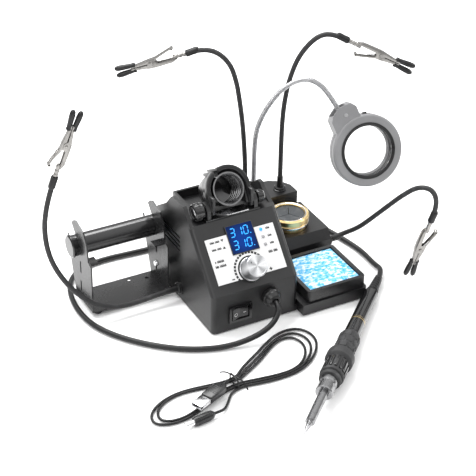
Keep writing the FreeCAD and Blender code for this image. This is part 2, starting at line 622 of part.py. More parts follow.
# ---------------------------------------------------------------- tubes along routes
def rounded_wire(points):
    """Straight runs joined by the largest tangent arcs their runs allow."""
    points = [V(*p) for p in points]
    edges = []
    radii = []
    last = points[0]
    for i in range(1, len(points) - 1):
        before = points[i - 1] - points[i]
        after = points[i + 1] - points[i]
        turn = math.pi - before.getAngle(after)
        if turn < 0.002:
            continue
        shorter = min(before.Length, after.Length)
        radius = 0.45 * shorter / math.tan(turn / 2)
        reach = 0.45 * shorter
        before.normalize()
        after.normalize()
        start = points[i] + before * reach
        end = points[i] + after * reach
        inward = before + after
        inward.normalize()
        middle = points[i] + inward * (radius / math.cos(turn / 2) - radius)
        edges.append(Part.LineSegment(last, start).toShape())
        edges.append(Part.Arc(start, middle, end).toShape())
        radii.append(radius)
        last = end
    edges.append(Part.LineSegment(last, points[-1]).toShape())
    return Part.Wire(edges), radii


def tube(points, radius):
    wire, radii = rounded_wire(points)
    start = V(*points[0])
    way = V(*points[1]) - start
    ring = Part.Wire([Part.makeCircle(radius, start, way)])
    shape = wire.makePipeShell([ring], True, False)
    expected = math.pi * radius ** 2 * wire.Length
    if abs(shape.Volume / expected - 1) > 0.01:
        print("tube volume is off", shape.Volume, expected)
    return shape, wire.Length, radii


def stub(start, way, radius, long):
    way = V(*way)
    way.normalize()
    return Part.makeCylinder(radius, long, V(*start), way)


# ---------------------------------------------------------------- helping arms
def clip_frame(start, tip, side):
    """Placement with X from start to tip and Y towards side."""
    x = (V(*tip) - V(*start)).normalize()
    z = x.cross(V(*side)).normalize()
    y = z.cross(x)
    matrix = FreeCAD.Matrix(x.x, y.x, z.x, start[0], x.y, y.y, z.y, start[1],
                            x.z, y.z, z.z, start[2], 0, 0, 0, 1)
    return FreeCAD.Placement(matrix)


PIVOT_ALONG = 36.0


def flat_prism(points, wide):
    corners = [V(x, y, -wide / 2) for x, y in points]
    face = Part.Face(Part.makePolygon(corners + corners[:1]))
    return face.extrude(V(0, 0, wide))


def clip_shapes():
    """The fixed jaw with its crimp, pin and boot, and the sprung lever, in the clip's frame."""
    tip = size("clip_long")
    end = tip + size("boot_long") - 2
    jaw = flat_prism([(11, -2.6), (15, -4.6), (34, -4.8), (tip, -2), (tip, -0.3), (41, -0.5),
                      (38, 2.4), (34, 2.4), (31, -0.5), (15, -1), (11, -1)], 7)
    room = flat_prism([(12, 3), (12, -1.8), (15, -3.8), (34, -4), (tip + 1, -1.2), (tip + 1, 3)], 5.4)
    crimp = Part.makeCylinder(2.3, 13.5, V(0, 0, 0), V(1, 0, 0))
    crimp = crimp.cut(Part.makeCylinder(1.5, 9, V(-1, 0, 0), V(1, 0, 0)))
    floor = Part.makeBox(6, 2.2, 4, V(10, -3.2, -2))
    pin = Part.makeCylinder(1, 8.4, V(PIVOT_ALONG, 0, -4.2), V(0, 0, 1))
    fixed = jaw.cut(room).fuse([crimp, floor, pin])
    boot = Part.makeCylinder(3.4, end - tip + 2, V(tip - 2, 0, 0), V(1, 0, 0))
    boot = boot.fuse(Part.makeSphere(3.4, V(end, 0, 0)))
    below = boot.common(Part.makeBox(60, 10, 20, V(tip - 4, -10.2, -10)))
    above = boot.common(Part.makeBox(60, 10, 20, V(tip - 4, 0.2, -10)))
    lever = flat_prism([(13, 9.6), (14, 10.4), (17, 9.6), (34, 4.9), (tip, 2), (tip, 0.3), (41, 0.5),
                        (38, -2.2), (34, -2.2), (32, 0.5), (31, 4), (16, 8.4)], 5)
    hollow = flat_prism([(10, 12), (18, 8.3), (34, 4.1), (tip + 1, 1.2), (tip + 1, -3), (30, -3),
                         (30, 3), (10, 7)], 3.4)
    hollow = hollow.cut(Part.makeBox(14, 20, 10, V(6, 0, -5)))
    bore = Part.makeCylinder(1.06, 10, V(PIVOT_ALONG, 0, -5), V(0, 0, 1))
    lever = lever.cut(hollow).cut(bore)
    return [fixed, below.cut(fixed)], [lever, above.cut(lever)]


def arm(number, base, way, lower, upper, tip, lever_side, radius):
    """One flexible arm: swivelling lower neck, upper neck that bends, sprung clip."""
    start = V(*base)
    outward = V(*way).normalize()
    sleeve_top = start + outward * 16
    pivot = V(*upper[0])
    run = (pivot - V(*lower[-1])).normalize()
    stop = pivot - run * (radius + 0.35)
    path = [tuple(start + outward * 6)] + lower + [tuple(stop)]
    neck, long_low, radii_low = tube(path, radius)
    sleeve = stub(tuple(start - outward * 5), way, 3.3, 21)
    solid_low = neck.fuse(sleeve)
    node(f"arm_{number}_lower", solid(f"arm_{number}_lower", solid_low))
    neck_up, long_up, radii_up = tube(upper, radius)
    last = V(*upper[-1])
    heading = (last - V(*upper[-2])).normalize()
    cap = stub(tuple(last - heading * 13), tuple(heading), size("sleeve_rad"), 13)
    solid_up = neck_up.fuse([Part.makeSphere(radius, pivot), cap])
    node(f"arm_{number}_upper", solid(f"arm_{number}_upper", solid_up))
    frame = clip_frame(tuple(last + heading * 0.3), tip, lever_side)
    fixed, moving = clip_shapes()
    node(f"arm_{number}_clip", solid(f"arm_{number}_clip", Part.makeCompound(fixed), frame))
    node(f"arm_{number}_lever", solid(f"arm_{number}_lever", Part.makeCompound(moving), frame))
    hinge = frame.multVec(V(PIVOT_ALONG, 0, 0))
    axle = frame.Rotation.multVec(V(0, 0, 1))
    print("ARM", number, "bend", [round(c, 2) for c in pivot], "clip swivel",
          [round(c, 2) for c in last], [round(c, 4) for c in heading], "lever", [round(c, 2) for c in hinge],
          [round(c, 4) for c in axle], "lengths", round(long_low), round(long_up), "radii",
          [round(r) for r in radii_low + radii_up])


def wider():
    """How far the housing's sides stand outside their usual place."""
    return size("hous_wide") / 2 - 48


def deeper():
    return size("hous_deep") / 2 - 62


def spread(point):
    """A loose piece's point, moved outwards with the housing's sides, front and back."""
    x, y, z = point
    return V(x + wider() * max(-1, min(1, x / 48)), y + deeper() * max(-1, min(1, y / 62)), z)


def beside(points, sign=1):
    return [(x + sign * wider(), y, z) for x, y, z in points]


ARMS = {
    1: {"base": (-48, 10.5, 14), "way": (-1, 0, 0),
        "lower": [(-72, 10.5, 13.5), (-98, 10, 11), (-122, 10, 13), (-144, 13, 23), (-162, 20, 42),
                  (-175, 25, 66), (-181, 28, 88)],
        "upper": [(-182, 30, 111), (-179.5, 30, 130), (-174, 29, 152), (-169, 27, 168)],
        "tip": (-150, 15, 232), "side": (-1, 0.3, -0.3)},
    2: {"base": (66, 85, 57), "way": (0, 0, 1),
        "lower": [(66, 85, 84), (65, 86, 112), (63, 87, 140), (60, 88.5, 166)],
        "upper": [(57, 90, 187), (51, 93, 208), (38, 100, 222), (22, 109, 223), (12, 115, 218)],
        "tip": (-42, 142, 200), "side": (0.2, 0, 1)},
    3: {"base": (102, 73, 57), "way": (0, 0, 1),
        "lower": [(102, 73, 84), (102, 73, 112), (102.5, 73, 140)],
        "upper": [(104, 72, 164), (108, 70, 190), (116, 65, 217), (132, 57, 238), (147, 49, 239),
                  (159, 42, 232)],
        "tip": (204, 18, 208), "side": (-0.3, 0, -1)},
    4: {"base": (126, 12, 20), "way": (1, 0, 0),
        "lower": [(144, 10, 24), (151, -8, 39), (155, -28, 62), (160, -46, 84)],
        "upper": [(166, -62, 104), (173, -78, 121), (181, -93, 123), (184, -98, 106), (181, -93, 86)],
        "tip": (173, -77, 20), "side": (0.8, -0.3, 0)},
}


def helping_arms():
    for number, spec in ARMS.items():
        sign = -1 if number == 1 else 1
        base, tip = beside([spec["base"], spec["tip"]], sign)
        arm(number, base, spec["way"], beside(spec["lower"], sign), beside(spec["upper"], sign), tip,
            spec["side"], size("neck_rad"))


def sockets():
    rings = []
    places = [(("-hous_wide/2-0.02", 10.5, 14), FreeCAD.Rotation(V(0, 1, 0), -90)),
              (("deck_right+0.02", 12, 20), TO_RIGHT)]
    places += [((x, y, "high_deck+0.02"), UP) for x, y in DECK_HOLES]
    for i, (at, turn) in enumerate(places):
        rings.append(turned(f"socket_{i}", [(3.4, 0), ("socket_rad+1", 0), ("socket_rad+1", 1),
                     ("socket_rad", 1.4), ("socket_rad", "socket_high-1"),
                     ("socket_rad-1", "socket_high"), (3.4, "socket_high")], at=at, turn=turn))
    node("socket_nuts", group("socket_nuts", *rings))


# ---------------------------------------------------------------- magnifier
HEAD_CENTRE = V(168, 12, 119)
HEAD_AZ = -10.0
HEAD_EL = 20.0
HEAD_HINGE = V(-25, 43, 0)


def head_frame():
    az, el = math.radians(HEAD_AZ), math.radians(HEAD_EL)
    z = V(math.sin(az) * math.cos(el), -math.cos(az) * math.cos(el), math.sin(el))
    x = V(math.cos(az), math.sin(az), 0)
    y = z.cross(x)
    c = HEAD_CENTRE + V(wider(), 0, 0)
    return FreeCAD.Placement(FreeCAD.Matrix(x.x, y.x, z.x, c.x, x.y, y.y, z.y, c.y,
                                            x.z, y.z, z.z, c.z, 0, 0, 0, 1))


def magnifier():
    radius = size("mag_neck_rad")
    frame = head_frame()
    ring_rad = size("ring_rad")
    deep = size("ring_deep")
    lens_rad = size("lens_rad")
    hinge = frame.multVec(HEAD_HINGE)
    base = V(68 + wider(), 70, 57)
    lower = beside([(68, 70, 84), (68, 70, 112), (69, 69, 138), (76, 65, 160)])
    upper = beside([(87, 58, 182), (100, 52, 194), (115, 46, 198), (128, 41, 190), (138, 36, 175)])
    pivot = V(*upper[0])
    run = (pivot - V(*lower[-1])).normalize()
    foot = tuple(base + V(0, 0, 6))
    neck, long_low, radii_low = tube([foot] + lower + [tuple(pivot - run * (radius + 0.35))], radius)
    node("mag_lower", solid("mag_lower", neck.fuse(stub(tuple(base - V(0, 0, 5)), (0, 0, 1), 3.3, 21))))
    meet = hinge
    neck_up, long_up, radii_up = tube(upper + [tuple(meet)], radius)
    node("mag_upper", solid("mag_upper", neck_up.fuse([Part.makeSphere(radius, pivot),
                                                       Part.makeSphere(radius, meet)])))
    ring = Part.makeCylinder(ring_rad, deep, V(0, 0, -deep / 2))
    ring = ring.makeFillet(2.5, [e for e in ring.Edges if e.Length > 100])
    opening = Part.makeCone(lens_rad, lens_rad + 4, deep + 1, V(0, 0, -deep / 2 - 0.5))
    seat = Part.makeCylinder(lens_rad + 3.2, 5.2, V(0, 0, -2.6))
    block = flat_block([(-32, 20), (-37, 34), (-35, 40), (-28, 48), (-15, 52), (-9, 48), (-5, 37),
                        (-5, 24)], deep - 2)
    tilt_room = Part.makeSphere(radius + 0.45, HEAD_HINGE)
    channel = flat_block([(-27, 39), (-20, 47), (-20, 60), (-48, 60), (-48, 44), (-36, 39)], 9.6)
    slot = Part.makeBox(9, 5, 4, V(-1, ring_rad - 2.5, -2))
    head = ring.fuse(block).cut(opening).cut(seat)
    head = head.cut(tilt_room).cut(channel).cut(slot)
    node("mag_head", solid("mag_head", head, frame))
    lens_bulge = Part.makeCylinder(lens_rad + 3, 4.6, V(0, 0, -2.3))
    node("mag_lens", solid("mag_lens", lens_bulge, frame))
    slider = Part.makeBox(4, 3.6, 3.3, V(-0.6, ring_rad - 2.1, -1.65))
    node("mag_switch", solid("mag_switch", slider, frame))
    print("MAG bend", [round(c, 2) for c in pivot], "head hinge", [round(c, 2) for c in hinge], "axis",
          [round(c, 4) for c in frame.Rotation.multVec(V(1, 0, 0))], "up",
          [round(c, 4) for c in frame.Rotation.multVec(V(0, 1, 0))], "normal",
          [round(c, 4) for c in frame.Rotation.multVec(V(0, 0, 1))], "radii",
          [round(r) for r in radii_low + radii_up])


def flat_block(points, deep):
    corners = [V(x, y, -deep / 2) for x, y in points]
    face = Part.Face(Part.makePolygon(corners + corners[:1]))
    return face.extrude(V(0, 0, deep))


# ---------------------------------------------------------------- iron and its cord
IRON_FLANGE = V(35, -165.5, 13.8)
IRON_END = V(124.8, -79.6, 8.2)


def iron():
    start = spread(IRON_FLANGE)
    way = spread(IRON_END) - start
    reach = way.Length
    way.normalize()
    turn = FreeCAD.Rotation(V(0, 0, 1), way)
    flange = size("iron_flange_rad")

    def piece(name, profile):
        body = turned(name, profile, turn=turn)
        body.Placement.Base = start
        for letter in "xyz":
            body.setExpression(f"Placement.Base.{letter}", None)
        return node(name, body)

    piece("iron_tip", [(0, -124), (0.5, -124), (2.4, -112), (2.8, -106), (4.6, -105), (4.6, -58),
                       (3.6, -58), (3.6, -30), (0, -30)])
    piece("iron_nut", [(4.7, -59), (7.6, -59), (8.4, -58), (8.4, -50), (7.2, -48.6), (7.2, -45),
                       (8.4, -43.6), (8.4, -39), (4.7, -39)])
    collar = [(3.7, -38.9), (9.5, -38.9)]
    for i in range(8):
        low = -38 + 4 * i
        collar += [(12.6, low), (12.6, low + 2.6), (11.6, low + 3), (11.6, low + 3.8)]
    collar += [("iron_flange_rad", -5), ("iron_flange_rad", 4), (11, 5.5), (10.2, 12), (10.8, 24),
               (9.4, 41), (5, 41), (5, -29), (3.7, -29)]
    piece("iron_grip", collar)
    piece("iron_handle", [(0, 41.1), (8.6, 41.1), (8.2, 60), (7.7, 90), (7.6, reach - 2),
                          (6.6, reach), (3, reach), (3, reach - 10), (0, reach - 10)])
    relief = [(2.9, reach - 9.9), (2.9, reach + 0.05), (5.6, reach + 0.05)]
    for i in range(6):
        low = reach + 3 + 4.4 * i
        rad = 5.6 - 0.22 * i
        relief += [(rad, low), (rad - 0.8, low + 0.4), (rad - 0.8, low + 1.6), (rad - 0.2, low + 2)]
    relief += [(4, reach + 30), (4, reach + 32), (0, reach + 32), (0, reach - 9.9)]
    piece("iron_relief", relief)
    end = start + way * (reach + 32)
    print("IRON way", [round(c, 4) for c in way], "reach", round(reach, 1), "relief end",
          [round(c, 2) for c in end])
    return end, way


CORD_ROUTE = [(160, -29, 4), (162.5, -3, 3.2), (158, 25, 3.1), (151, 52, 3.1), (142, 80, 3.1),
              (121, 106, 3.1), (92, 116, 3.1), (56, 112, 3.1), (20, 107, 3.1), (-18, 104, 3.1),
              (-55, 106, 3.1), (-90, 109, 3.1), (-120, 104, 3.1), (-139, 85, 3.1), (-148, 58, 3.1),
              (-150.5, 30, 3.1), (-146.5, 3, 3.1), (-134, -22, 3.1), (-115, -46, 3.1), (-90, -68, 3.1),
              (-66, -81, 3.1), (-43, -88, 3.6)]
GLAND_RUN = [(-35.5, -24.5, -22), (-16.5, -24.5, -15.5), (-4.5, -20, -8), (0, -14, -0.6)]


def iron_cord(end, way):
    exit_point = V(size("gland_across"), -size("hous_deep") / 2 - 5, size("gland_up"))
    middle = [tuple(spread(spot)) for spot in CORD_ROUTE]
    run = [tuple(exit_point + V(*spot)) for spot in GLAND_RUN]
    route = [tuple(end), tuple(end + way * 17)] + middle + run + [tuple(exit_point)]
    shape, long, radii = tube(route, size("cord_rad"))
    node("iron_cord", solid("iron_cord", shape))
    print("CORD length", round(long), "radii", [round(r) for r in radii], "low",
          round(shape.BoundBox.ZMin, 2))


# ---------------------------------------------------------------- loose USB lead
RIGHT_LOOP = [(-62, -147.2), (-44, -150.5), (-12, -153.2), (14, -146), (34, -129), (41, -110), (36, -92),
              (20, -86), (-4, -94), (-24, -107), (-46, -119), (-62, -131.4)]
RIGHT_ROOM = [(-50, -139.5), (-40, -142.5), (-12, -143.5), (8, -137), (23, -124), (29, -110), (27, -102),
              (18, -97.5), (2, -102.5), (-20, -114.5), (-42, -127), (-50, -134)]
LEFT_LOOP = [(-69, -131.4), (-100, -126.5), (-124, -125.5), (-146, -133), (-161, -148), (-163, -160),
             (-151, -168.5), (-136, -170), (-110, -163.5), (-84, -152), (-69, -147.2)]
LEFT_ROOM = [(-84, -139.5), (-104, -136), (-124, -136), (-140, -142), (-151, -151), (-151, -156),
             (-146, -158.5), (-136, -159), (-112, -153.5), (-88, -144.5)]


def usb_lead():
    loops = []
    for i, (outline, room) in enumerate(((RIGHT_LOOP, RIGHT_ROOM), (LEFT_LOOP, LEFT_ROOM))):
        solid_loop = prism(f"hank_loop_{i}", "XY", outline, 5.6, at=("0", "0", "0.1"))
        loops.append(cut(f"hank_open_{i}", solid_loop, prism(f"hank_room_{i}", "XY", room, 7,
                                                             at=("0", "0", "-0.5"))))
    neck = box("hank_neck", (16, 15.8, 9.6), (-73.5, -147.2, 0.1))
    node("usb_hank", fuse("usb_hank", *loops, neck))
    band = Part.makeBox(5, 18.4, 10.9, V(-67.5, -148.5, 0))
    room = Part.makeBox(9, 16.2, 9.8, V(-69.5, -147.4, 0.05))
    node("usb_tie", solid("usb_tie", band.cut(room)))
    node("usb_plug", solid("usb_plug", usb_plug()))
    node("dc_plug", solid("dc_plug", dc_plug()))
    for name in ("usb_hank", "usb_tie", "usb_plug", "dc_plug"):
        NODES[name].Placement.Base += V(0, -deeper(), 0)


def usb_plug():
    body = Part.makeBox(26, 13, 7, V(0, -6.5, 0.1))
    body = body.makeFillet(2.4, [e for e in body.Edges if abs(e.Vertexes[0].X - e.Vertexes[-1].X) > 20])
    shell = Part.makeBox(14, 11.6, 4.4, V(26, -5.8, 1.4))
    shell = shell.cut(Part.makeBox(12, 10.8, 3.6, V(29, -5.4, 1.8)))
    tongue = Part.makeBox(11, 10.6, 1.6, V(27, -5.3, 3.6))
    plug = Part.makeCompound([body, shell.fuse(tongue)])
    plug.Placement = FreeCAD.Placement(V(-80, -146.5, 6.4), FreeCAD.Rotation(V(0, 0, 1), 204))
    return plug


def dc_plug():
    body = Part.makeCylinder(4.4, 22, V(0, 0, 4.5), V(1, 0, 0))
    metal = Part.makeCylinder(2.75, 9.5, V(22, 0, 4.5), V(1, 0, 0))
    metal = metal.cut(Part.makeCylinder(1.1, 8, V(24, 0, 4.5), V(1, 0, 0)))
    plug = Part.makeCompound([body, metal])
    plug.Placement = FreeCAD.Placement(V(-104, -173.5, 0.1), FreeCAD.Rotation(V(0, 0, 1), 187))
    return plug


# ---------------------------------------------------------------- build, check, write
base_plate()
housing()
deck_block()
panel_fittings()
knob_at = knob()
rocker()
gland()
insides()
tray()
pot()
holder()
spool_stand()
sockets()
helping_arms()
magnifier()
iron_end, iron_way = iron()
doc.recompute()
iron_cord(iron_end, iron_way)
usb_lead()
doc.recompute()

bad = [o.Name for o in doc.Objects if "Invalid" in o.State or "Error" in o.State]
if bad:
    raise RuntimeError("objects in error: " + ", ".join(bad))
for name, obj in NODES.items():
    shape = obj.Shape
    if shape.isNull() or not shape.isValid() or not shape.Solids:
        raise RuntimeError("bad shape in " + name)
    shape.exportStep(f"parts/{name}.step")
print("knob at", [round(c, 3) for c in knob_at], "tilt", round(PANEL_TILT, 3), "nodes", len(NODES))
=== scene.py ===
"""Looks of a compact soldering station with helping arms, a magnifier, a spool stand and a loose lead."""
import math

import bmesh
import bpy
from mathutils import Matrix, Vector


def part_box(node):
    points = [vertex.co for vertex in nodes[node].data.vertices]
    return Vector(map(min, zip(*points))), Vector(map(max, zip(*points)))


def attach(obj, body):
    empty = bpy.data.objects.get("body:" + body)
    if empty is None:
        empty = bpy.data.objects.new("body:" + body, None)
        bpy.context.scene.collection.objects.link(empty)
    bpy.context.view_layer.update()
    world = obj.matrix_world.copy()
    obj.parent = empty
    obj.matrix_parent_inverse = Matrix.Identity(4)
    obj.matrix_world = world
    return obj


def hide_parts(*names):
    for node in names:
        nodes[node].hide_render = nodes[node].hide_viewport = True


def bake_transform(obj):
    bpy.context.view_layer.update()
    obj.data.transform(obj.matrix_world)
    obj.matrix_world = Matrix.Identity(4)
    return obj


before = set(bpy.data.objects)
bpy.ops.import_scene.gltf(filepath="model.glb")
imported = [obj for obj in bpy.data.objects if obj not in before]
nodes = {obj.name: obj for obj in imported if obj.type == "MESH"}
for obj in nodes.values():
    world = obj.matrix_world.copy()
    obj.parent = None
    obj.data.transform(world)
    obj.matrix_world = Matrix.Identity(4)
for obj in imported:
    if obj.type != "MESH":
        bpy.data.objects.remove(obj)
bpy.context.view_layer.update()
MM = 0.001
UP = Vector((0, 0, 1))


PANEL_COS, PANEL_SIN = 0.6686, 0.7437
KNEE_BACK, KNEE_HIGH = -62, 44.5
DIAL_UP = 18.2
LAMP_ACROSS = 23.2
MARK_PROUD = 0.83
GLAND_END = (15.5, -67, 29.5)
POT_CENTRE = (91.5, 34.5, 0)
HOLDER_MOUTH = (0, -3, 125.2)
HOLDER_RISE = math.radians(30)


def mm(x, y, z):
    return Vector((x * MM, y * MM, z * MM))


# ---------------------------------------------------------------- camera, light, floor
VIEW_TURN, VIEW_RISE, VIEW_ROLL = math.radians(-28.5), math.radians(32.65), math.radians(0.85)
VIEW_AIM = mm(6.5, -10.9, 70.2)
VIEW_REACH = 1.5
SENSOR = 36
FOCAL_LENGTH = SENSOR * 1500 / 476
FLOOR_HALF = 4
FLOOR_DROP = 0.0004


def camera():
    turn, rise, roll = VIEW_TURN, VIEW_RISE, VIEW_ROLL
    back = Vector((math.sin(turn) * math.cos(rise), -math.cos(turn) * math.cos(rise), math.sin(rise)))
    right = Vector((math.cos(turn), math.sin(turn), 0))
    up = back.cross(right)
    side = right * math.cos(roll) + up * math.sin(roll)
    top = up * math.cos(roll) - right * math.sin(roll)
    data = bpy.data.cameras.new("camera")
    data.lens = FOCAL_LENGTH
    data.sensor_width = SENSOR
    data.clip_end = 20
    eye = bpy.data.objects.new("camera", data)
    place = Matrix((side, top, back)).transposed().to_4x4()
    place.translation = VIEW_AIM + back * VIEW_REACH
    eye.matrix_world = place
    bpy.context.collection.objects.link(eye)
    bpy.context.scene.camera = eye


def softbox(name, at, aim, wide, power):
    data = bpy.data.lights.new(name, "AREA")
    data.shape = "RECTANGLE"
    data.size, data.size_y = wide
    data.energy = power
    lamp = bpy.data.objects.new(name, data)
    lamp.location = at
    lamp.rotation_euler = (Vector(aim) - Vector(at)).to_track_quat("-Z", "Y").to_euler()
    bpy.context.collection.objects.link(lamp)


def studio():
    """A white room for the camera, brighter overhead than at the horizon for everything else."""
    world = bpy.data.worlds.new("studio")
    world.use_nodes = True
    tree = world.node_tree
    back = tree.nodes["Background"]
    back.inputs[0].default_value = (1, 1, 1, 1)
    spot = tree.nodes.new("ShaderNodeTexCoord")
    parts = tree.nodes.new("ShaderNodeSeparateXYZ")
    rise = tree.nodes.new("ShaderNodeMapRange")
    rise.interpolation_type = "SMOOTHSTEP"
    for slot, setting in zip(rise.inputs[1:5], (0.0, 0.85, 0.3, 1.45)):
        slot.default_value = setting
    seen = tree.nodes.new("ShaderNodeLightPath")
    pick = tree.nodes.new("ShaderNodeMix")
    pick.inputs[3].default_value = 1.0
    for start, end in ((spot.outputs["Generated"], parts.inputs[0]), (parts.outputs[2], rise.inputs[0]),
                       (seen.outputs["Is Camera Ray"], pick.inputs[0]), (rise.outputs[0], pick.inputs[2]),
                       (pick.outputs[0], back.inputs[1])):
        tree.links.new(start, end)
    bpy.context.scene.world = world
    bpy.context.scene.view_settings.view_transform = "Standard"
    softbox("overhead", (-0.1, 0.45, 1.0), (0, 0, 0.05), (1.0, 0.45), 14)
    softbox("left_front", (-0.9, -0.5, 0.9), (0, 0, 0.08), (0.2, 0.6), 3)
    softbox("right_fill", (1.0, -0.4, 0.6), (0, 0, 0.08), (0.2, 0.6), 3)
    mesh = bpy.data.meshes.new("floor")
    corners = [(x * FLOOR_HALF, y * FLOOR_HALF, 0) for x, y in ((-1, -1), (1, -1), (1, 1), (-1, 1))]
    mesh.from_pydata(corners, [], [(0, 1, 2, 3)])
    floor = bpy.data.objects.new("floor", mesh)
    floor.location = (0, 0, -FLOOR_DROP)
    bpy.context.collection.objects.link(floor)
    pale = bpy.data.materials.new("pale_floor")
    pale.use_nodes = True
    main = pale.node_tree.nodes["Principled BSDF"]
    main.inputs["Base Color"].default_value = (0.96, 0.96, 0.96, 1)
    main.inputs["Roughness"].default_value = 0.9
    main.inputs["Specular IOR Level"].default_value = 0.1
    mesh.materials.append(pale)


camera()
studio()


# ---------------------------------------------------------------- node trees as sums
class Flow:
    """A node socket that takes part in Python sums."""

    def __init__(self, tree, socket):
        self.tree = tree
        self.socket = socket

    def sum(self, operation, *others, turned=False):
        parts = [self, *others]
        if turned:
            parts.reverse()
        node = self.tree.nodes.new("ShaderNodeMath")
        node.operation = operation
        for slot, part in zip(node.inputs, parts):
            feed(self.tree, slot, part)
        return Flow(self.tree, node.outputs[0])

    def __add__(self, other):
        return self.sum("ADD", other)

    def __sub__(self, other):
        return self.sum("SUBTRACT", other)

    def __rsub__(self, other):
        return self.sum("SUBTRACT", other, turned=True)

    def __mul__(self, other):
        return self.sum("MULTIPLY", other)

    def __truediv__(self, other):
        return self.sum("DIVIDE", other)

    def __mod__(self, other):
        return self.sum("MODULO", other)

    def __pow__(self, other):
        return self.sum("POWER", other)

    __radd__ = __add__
    __rmul__ = __mul__


def feed(tree, slot, part):
    if isinstance(part, Flow):
        tree.links.new(part.socket, slot)
    elif part is not None:
        slot.default_value = part


def add_node(tree, kind, settings=None, values=None, out=0):
    """One node: its settings first, then the values or links of its sockets."""
    node = tree.nodes.new(kind)
    for key, setting in (settings or {}).items():
        if key == "stops":
            ramp = node.color_ramp.elements
            while len(ramp) < len(setting):
                ramp.new(0.5)
            for stop, (at, colour) in zip(ramp, setting):
                stop.position = at
                stop.color = colour
        else:
            setattr(node, key, setting)
    for key, part in (values or {}).items():
        feed(tree, node.inputs[key], part)
    return Flow(tree, node.outputs[out])


class Finish:
    """A surface finish: a principled shader with grain, mottling and wear added to it."""

    def __init__(self, name, colour, rough, metal=0.0, **constants):
        self.material = bpy.data.materials.new(name)
        self.material.use_nodes = True
        self.tree = self.material.node_tree
        self.main = self.tree.nodes["Principled BSDF"]
        self.colour = (*colour, 1)
        self.rough = rough
        self.main.inputs["Base Color"].default_value = self.colour
        self.main.inputs["Roughness"].default_value = rough
        self.main.inputs["Metallic"].default_value = metal
        for word, setting in constants.items():
            self.main.inputs[word.replace("_", " ")].default_value = setting
        self.place = self.node("ShaderNodeTexCoord", out="Object")

    def node(self, kind, settings=None, values=None, out=0):
        return add_node(self.tree, kind, settings, values, out)

    def noise(self, size, detail=3.0, stretch=(1, 1, 1), where=None):
        """Noise whose features are about size millimetres across."""
        spot = self.node("ShaderNodeMapping", None,
                         {"Vector": where or self.place, "Scale": Vector(stretch) * (1000 / size)})
        return self.node("ShaderNodeTexNoise", None, {"Vector": spot, "Scale": 1.0, "Detail": detail})

    def axis(self, letter, where=None):
        return self.node("ShaderNodeSeparateXYZ", None, {0: where or self.place}, "XYZ".index(letter))

    def mix(self, mask, first, second):
        def part(colour):
            return colour if isinstance(colour, Flow) else (*colour[:3], 1)
        node = self.tree.nodes.new("ShaderNodeMix")
        node.data_type = "RGBA"
        feed(self.tree, node.inputs[0], mask)
        feed(self.tree, node.inputs[6], part(first))
        feed(self.tree, node.inputs[7], part(second))
        return Flow(self.tree, node.outputs[2])

    def paint(self, socket, part):
        feed(self.tree, self.main.inputs[socket], part)
        return self

    def bump(self, height, depth, strength=1.0):
        """height, from 0 to 1, raised by depth millimetres."""
        bump = self.node("ShaderNodeBump", None, {"Height": height, "Distance": depth * MM,
                                                  "Strength": strength})
        return self.paint("Normal", bump)

    def step(self, part, low, high):
        return self.node("ShaderNodeMapRange", {"interpolation_type": "SMOOTHSTEP"},
                         {"Value": part, "From Min": low, "From Max": high})


def moulded(name, dark, light, rough, grain=0.45, depth=0.03, **constants):
    """Moulded plastic: a fine grain, slow mottling and faint handling marks."""
    finish = Finish(name, dark, rough, **constants)
    cloudy = finish.step(finish.noise(38, 4), 0.35, 0.7)
    fine = finish.noise(grain, 2)
    dust = finish.step(finish.noise(2.2, 6), 0.62, 0.8)
    finish.paint("Base Color", finish.mix(cloudy * 0.6 + dust * 0.25, dark, light))
    finish.paint("Roughness", rough + (fine - 0.5) * 0.12 + cloudy * 0.06 + dust * 0.05)
    return finish.bump(fine + finish.noise(14, 2) * 0.4, depth).material


def bare_metal(name, dark, light, rough, grain=(1, 1, 1), size=3.0, depth=0.01, **constants):
    """Turned, drawn or polished metal with streaks along its grain."""
    finish = Finish(name, light, rough, 1.0, **constants)
    streak = finish.noise(size, 5, grain)
    spots = finish.step(finish.noise(7, 4), 0.45, 0.75)
    finish.paint("Base Color", finish.mix(streak * 0.5 + spots * 0.4, light, dark))
    finish.paint("Roughness", rough + streak * 0.14 + spots * 0.08)
    return finish.bump(streak, depth, 0.35).material


def soft_rubber(name, dark, light, rough=0.72, grain=0.6):
    finish = Finish(name, dark, rough, Specular_IOR_Level=0.35)
    fine = finish.noise(grain, 4)
    pale = finish.step(finish.noise(9, 5), 0.5, 0.78)
    finish.paint("Base Color", finish.mix(pale * 0.7, dark, light))
    finish.paint("Roughness", rough + (fine - 0.5) * 0.16 - pale * 0.06)
    return finish.bump(fine, 0.04).material


def glowing(name, colour, glow, strength, rough=0.25):
    finish = Finish(name, colour, rough, Coat_Weight=0.4)
    cells = finish.noise(0.8, 3)
    finish.paint("Emission Color", finish.mix(cells * 0.5, glow, [part * 0.75 for part in glow]))
    finish.main.inputs["Emission Strength"].default_value = strength
    return finish.material


def display_glass():
    """A deep blue window, brighter towards its middle."""
    finish = Finish("display_blue", (0.0, 0.006, 0.03), 0.1, Specular_IOR_Level=0.12)
    across = finish.axis("X") * 1000 - 1.0
    high = finish.axis("Z") * 1000 - 81.8
    far = (across * across / 190 + high * high / 150) ** 0.5
    cloudy = finish.noise(3.5, 3)
    lit = (1 - finish.step(far, 0.2, 1.25)) * 0.8 + cloudy * 0.2
    finish.paint("Emission Color", finish.mix(lit, (0.0, 0.004, 0.03), (0.0, 0.04, 0.3)))
    finish.main.inputs["Emission Strength"].default_value = 1.0
    return finish.material


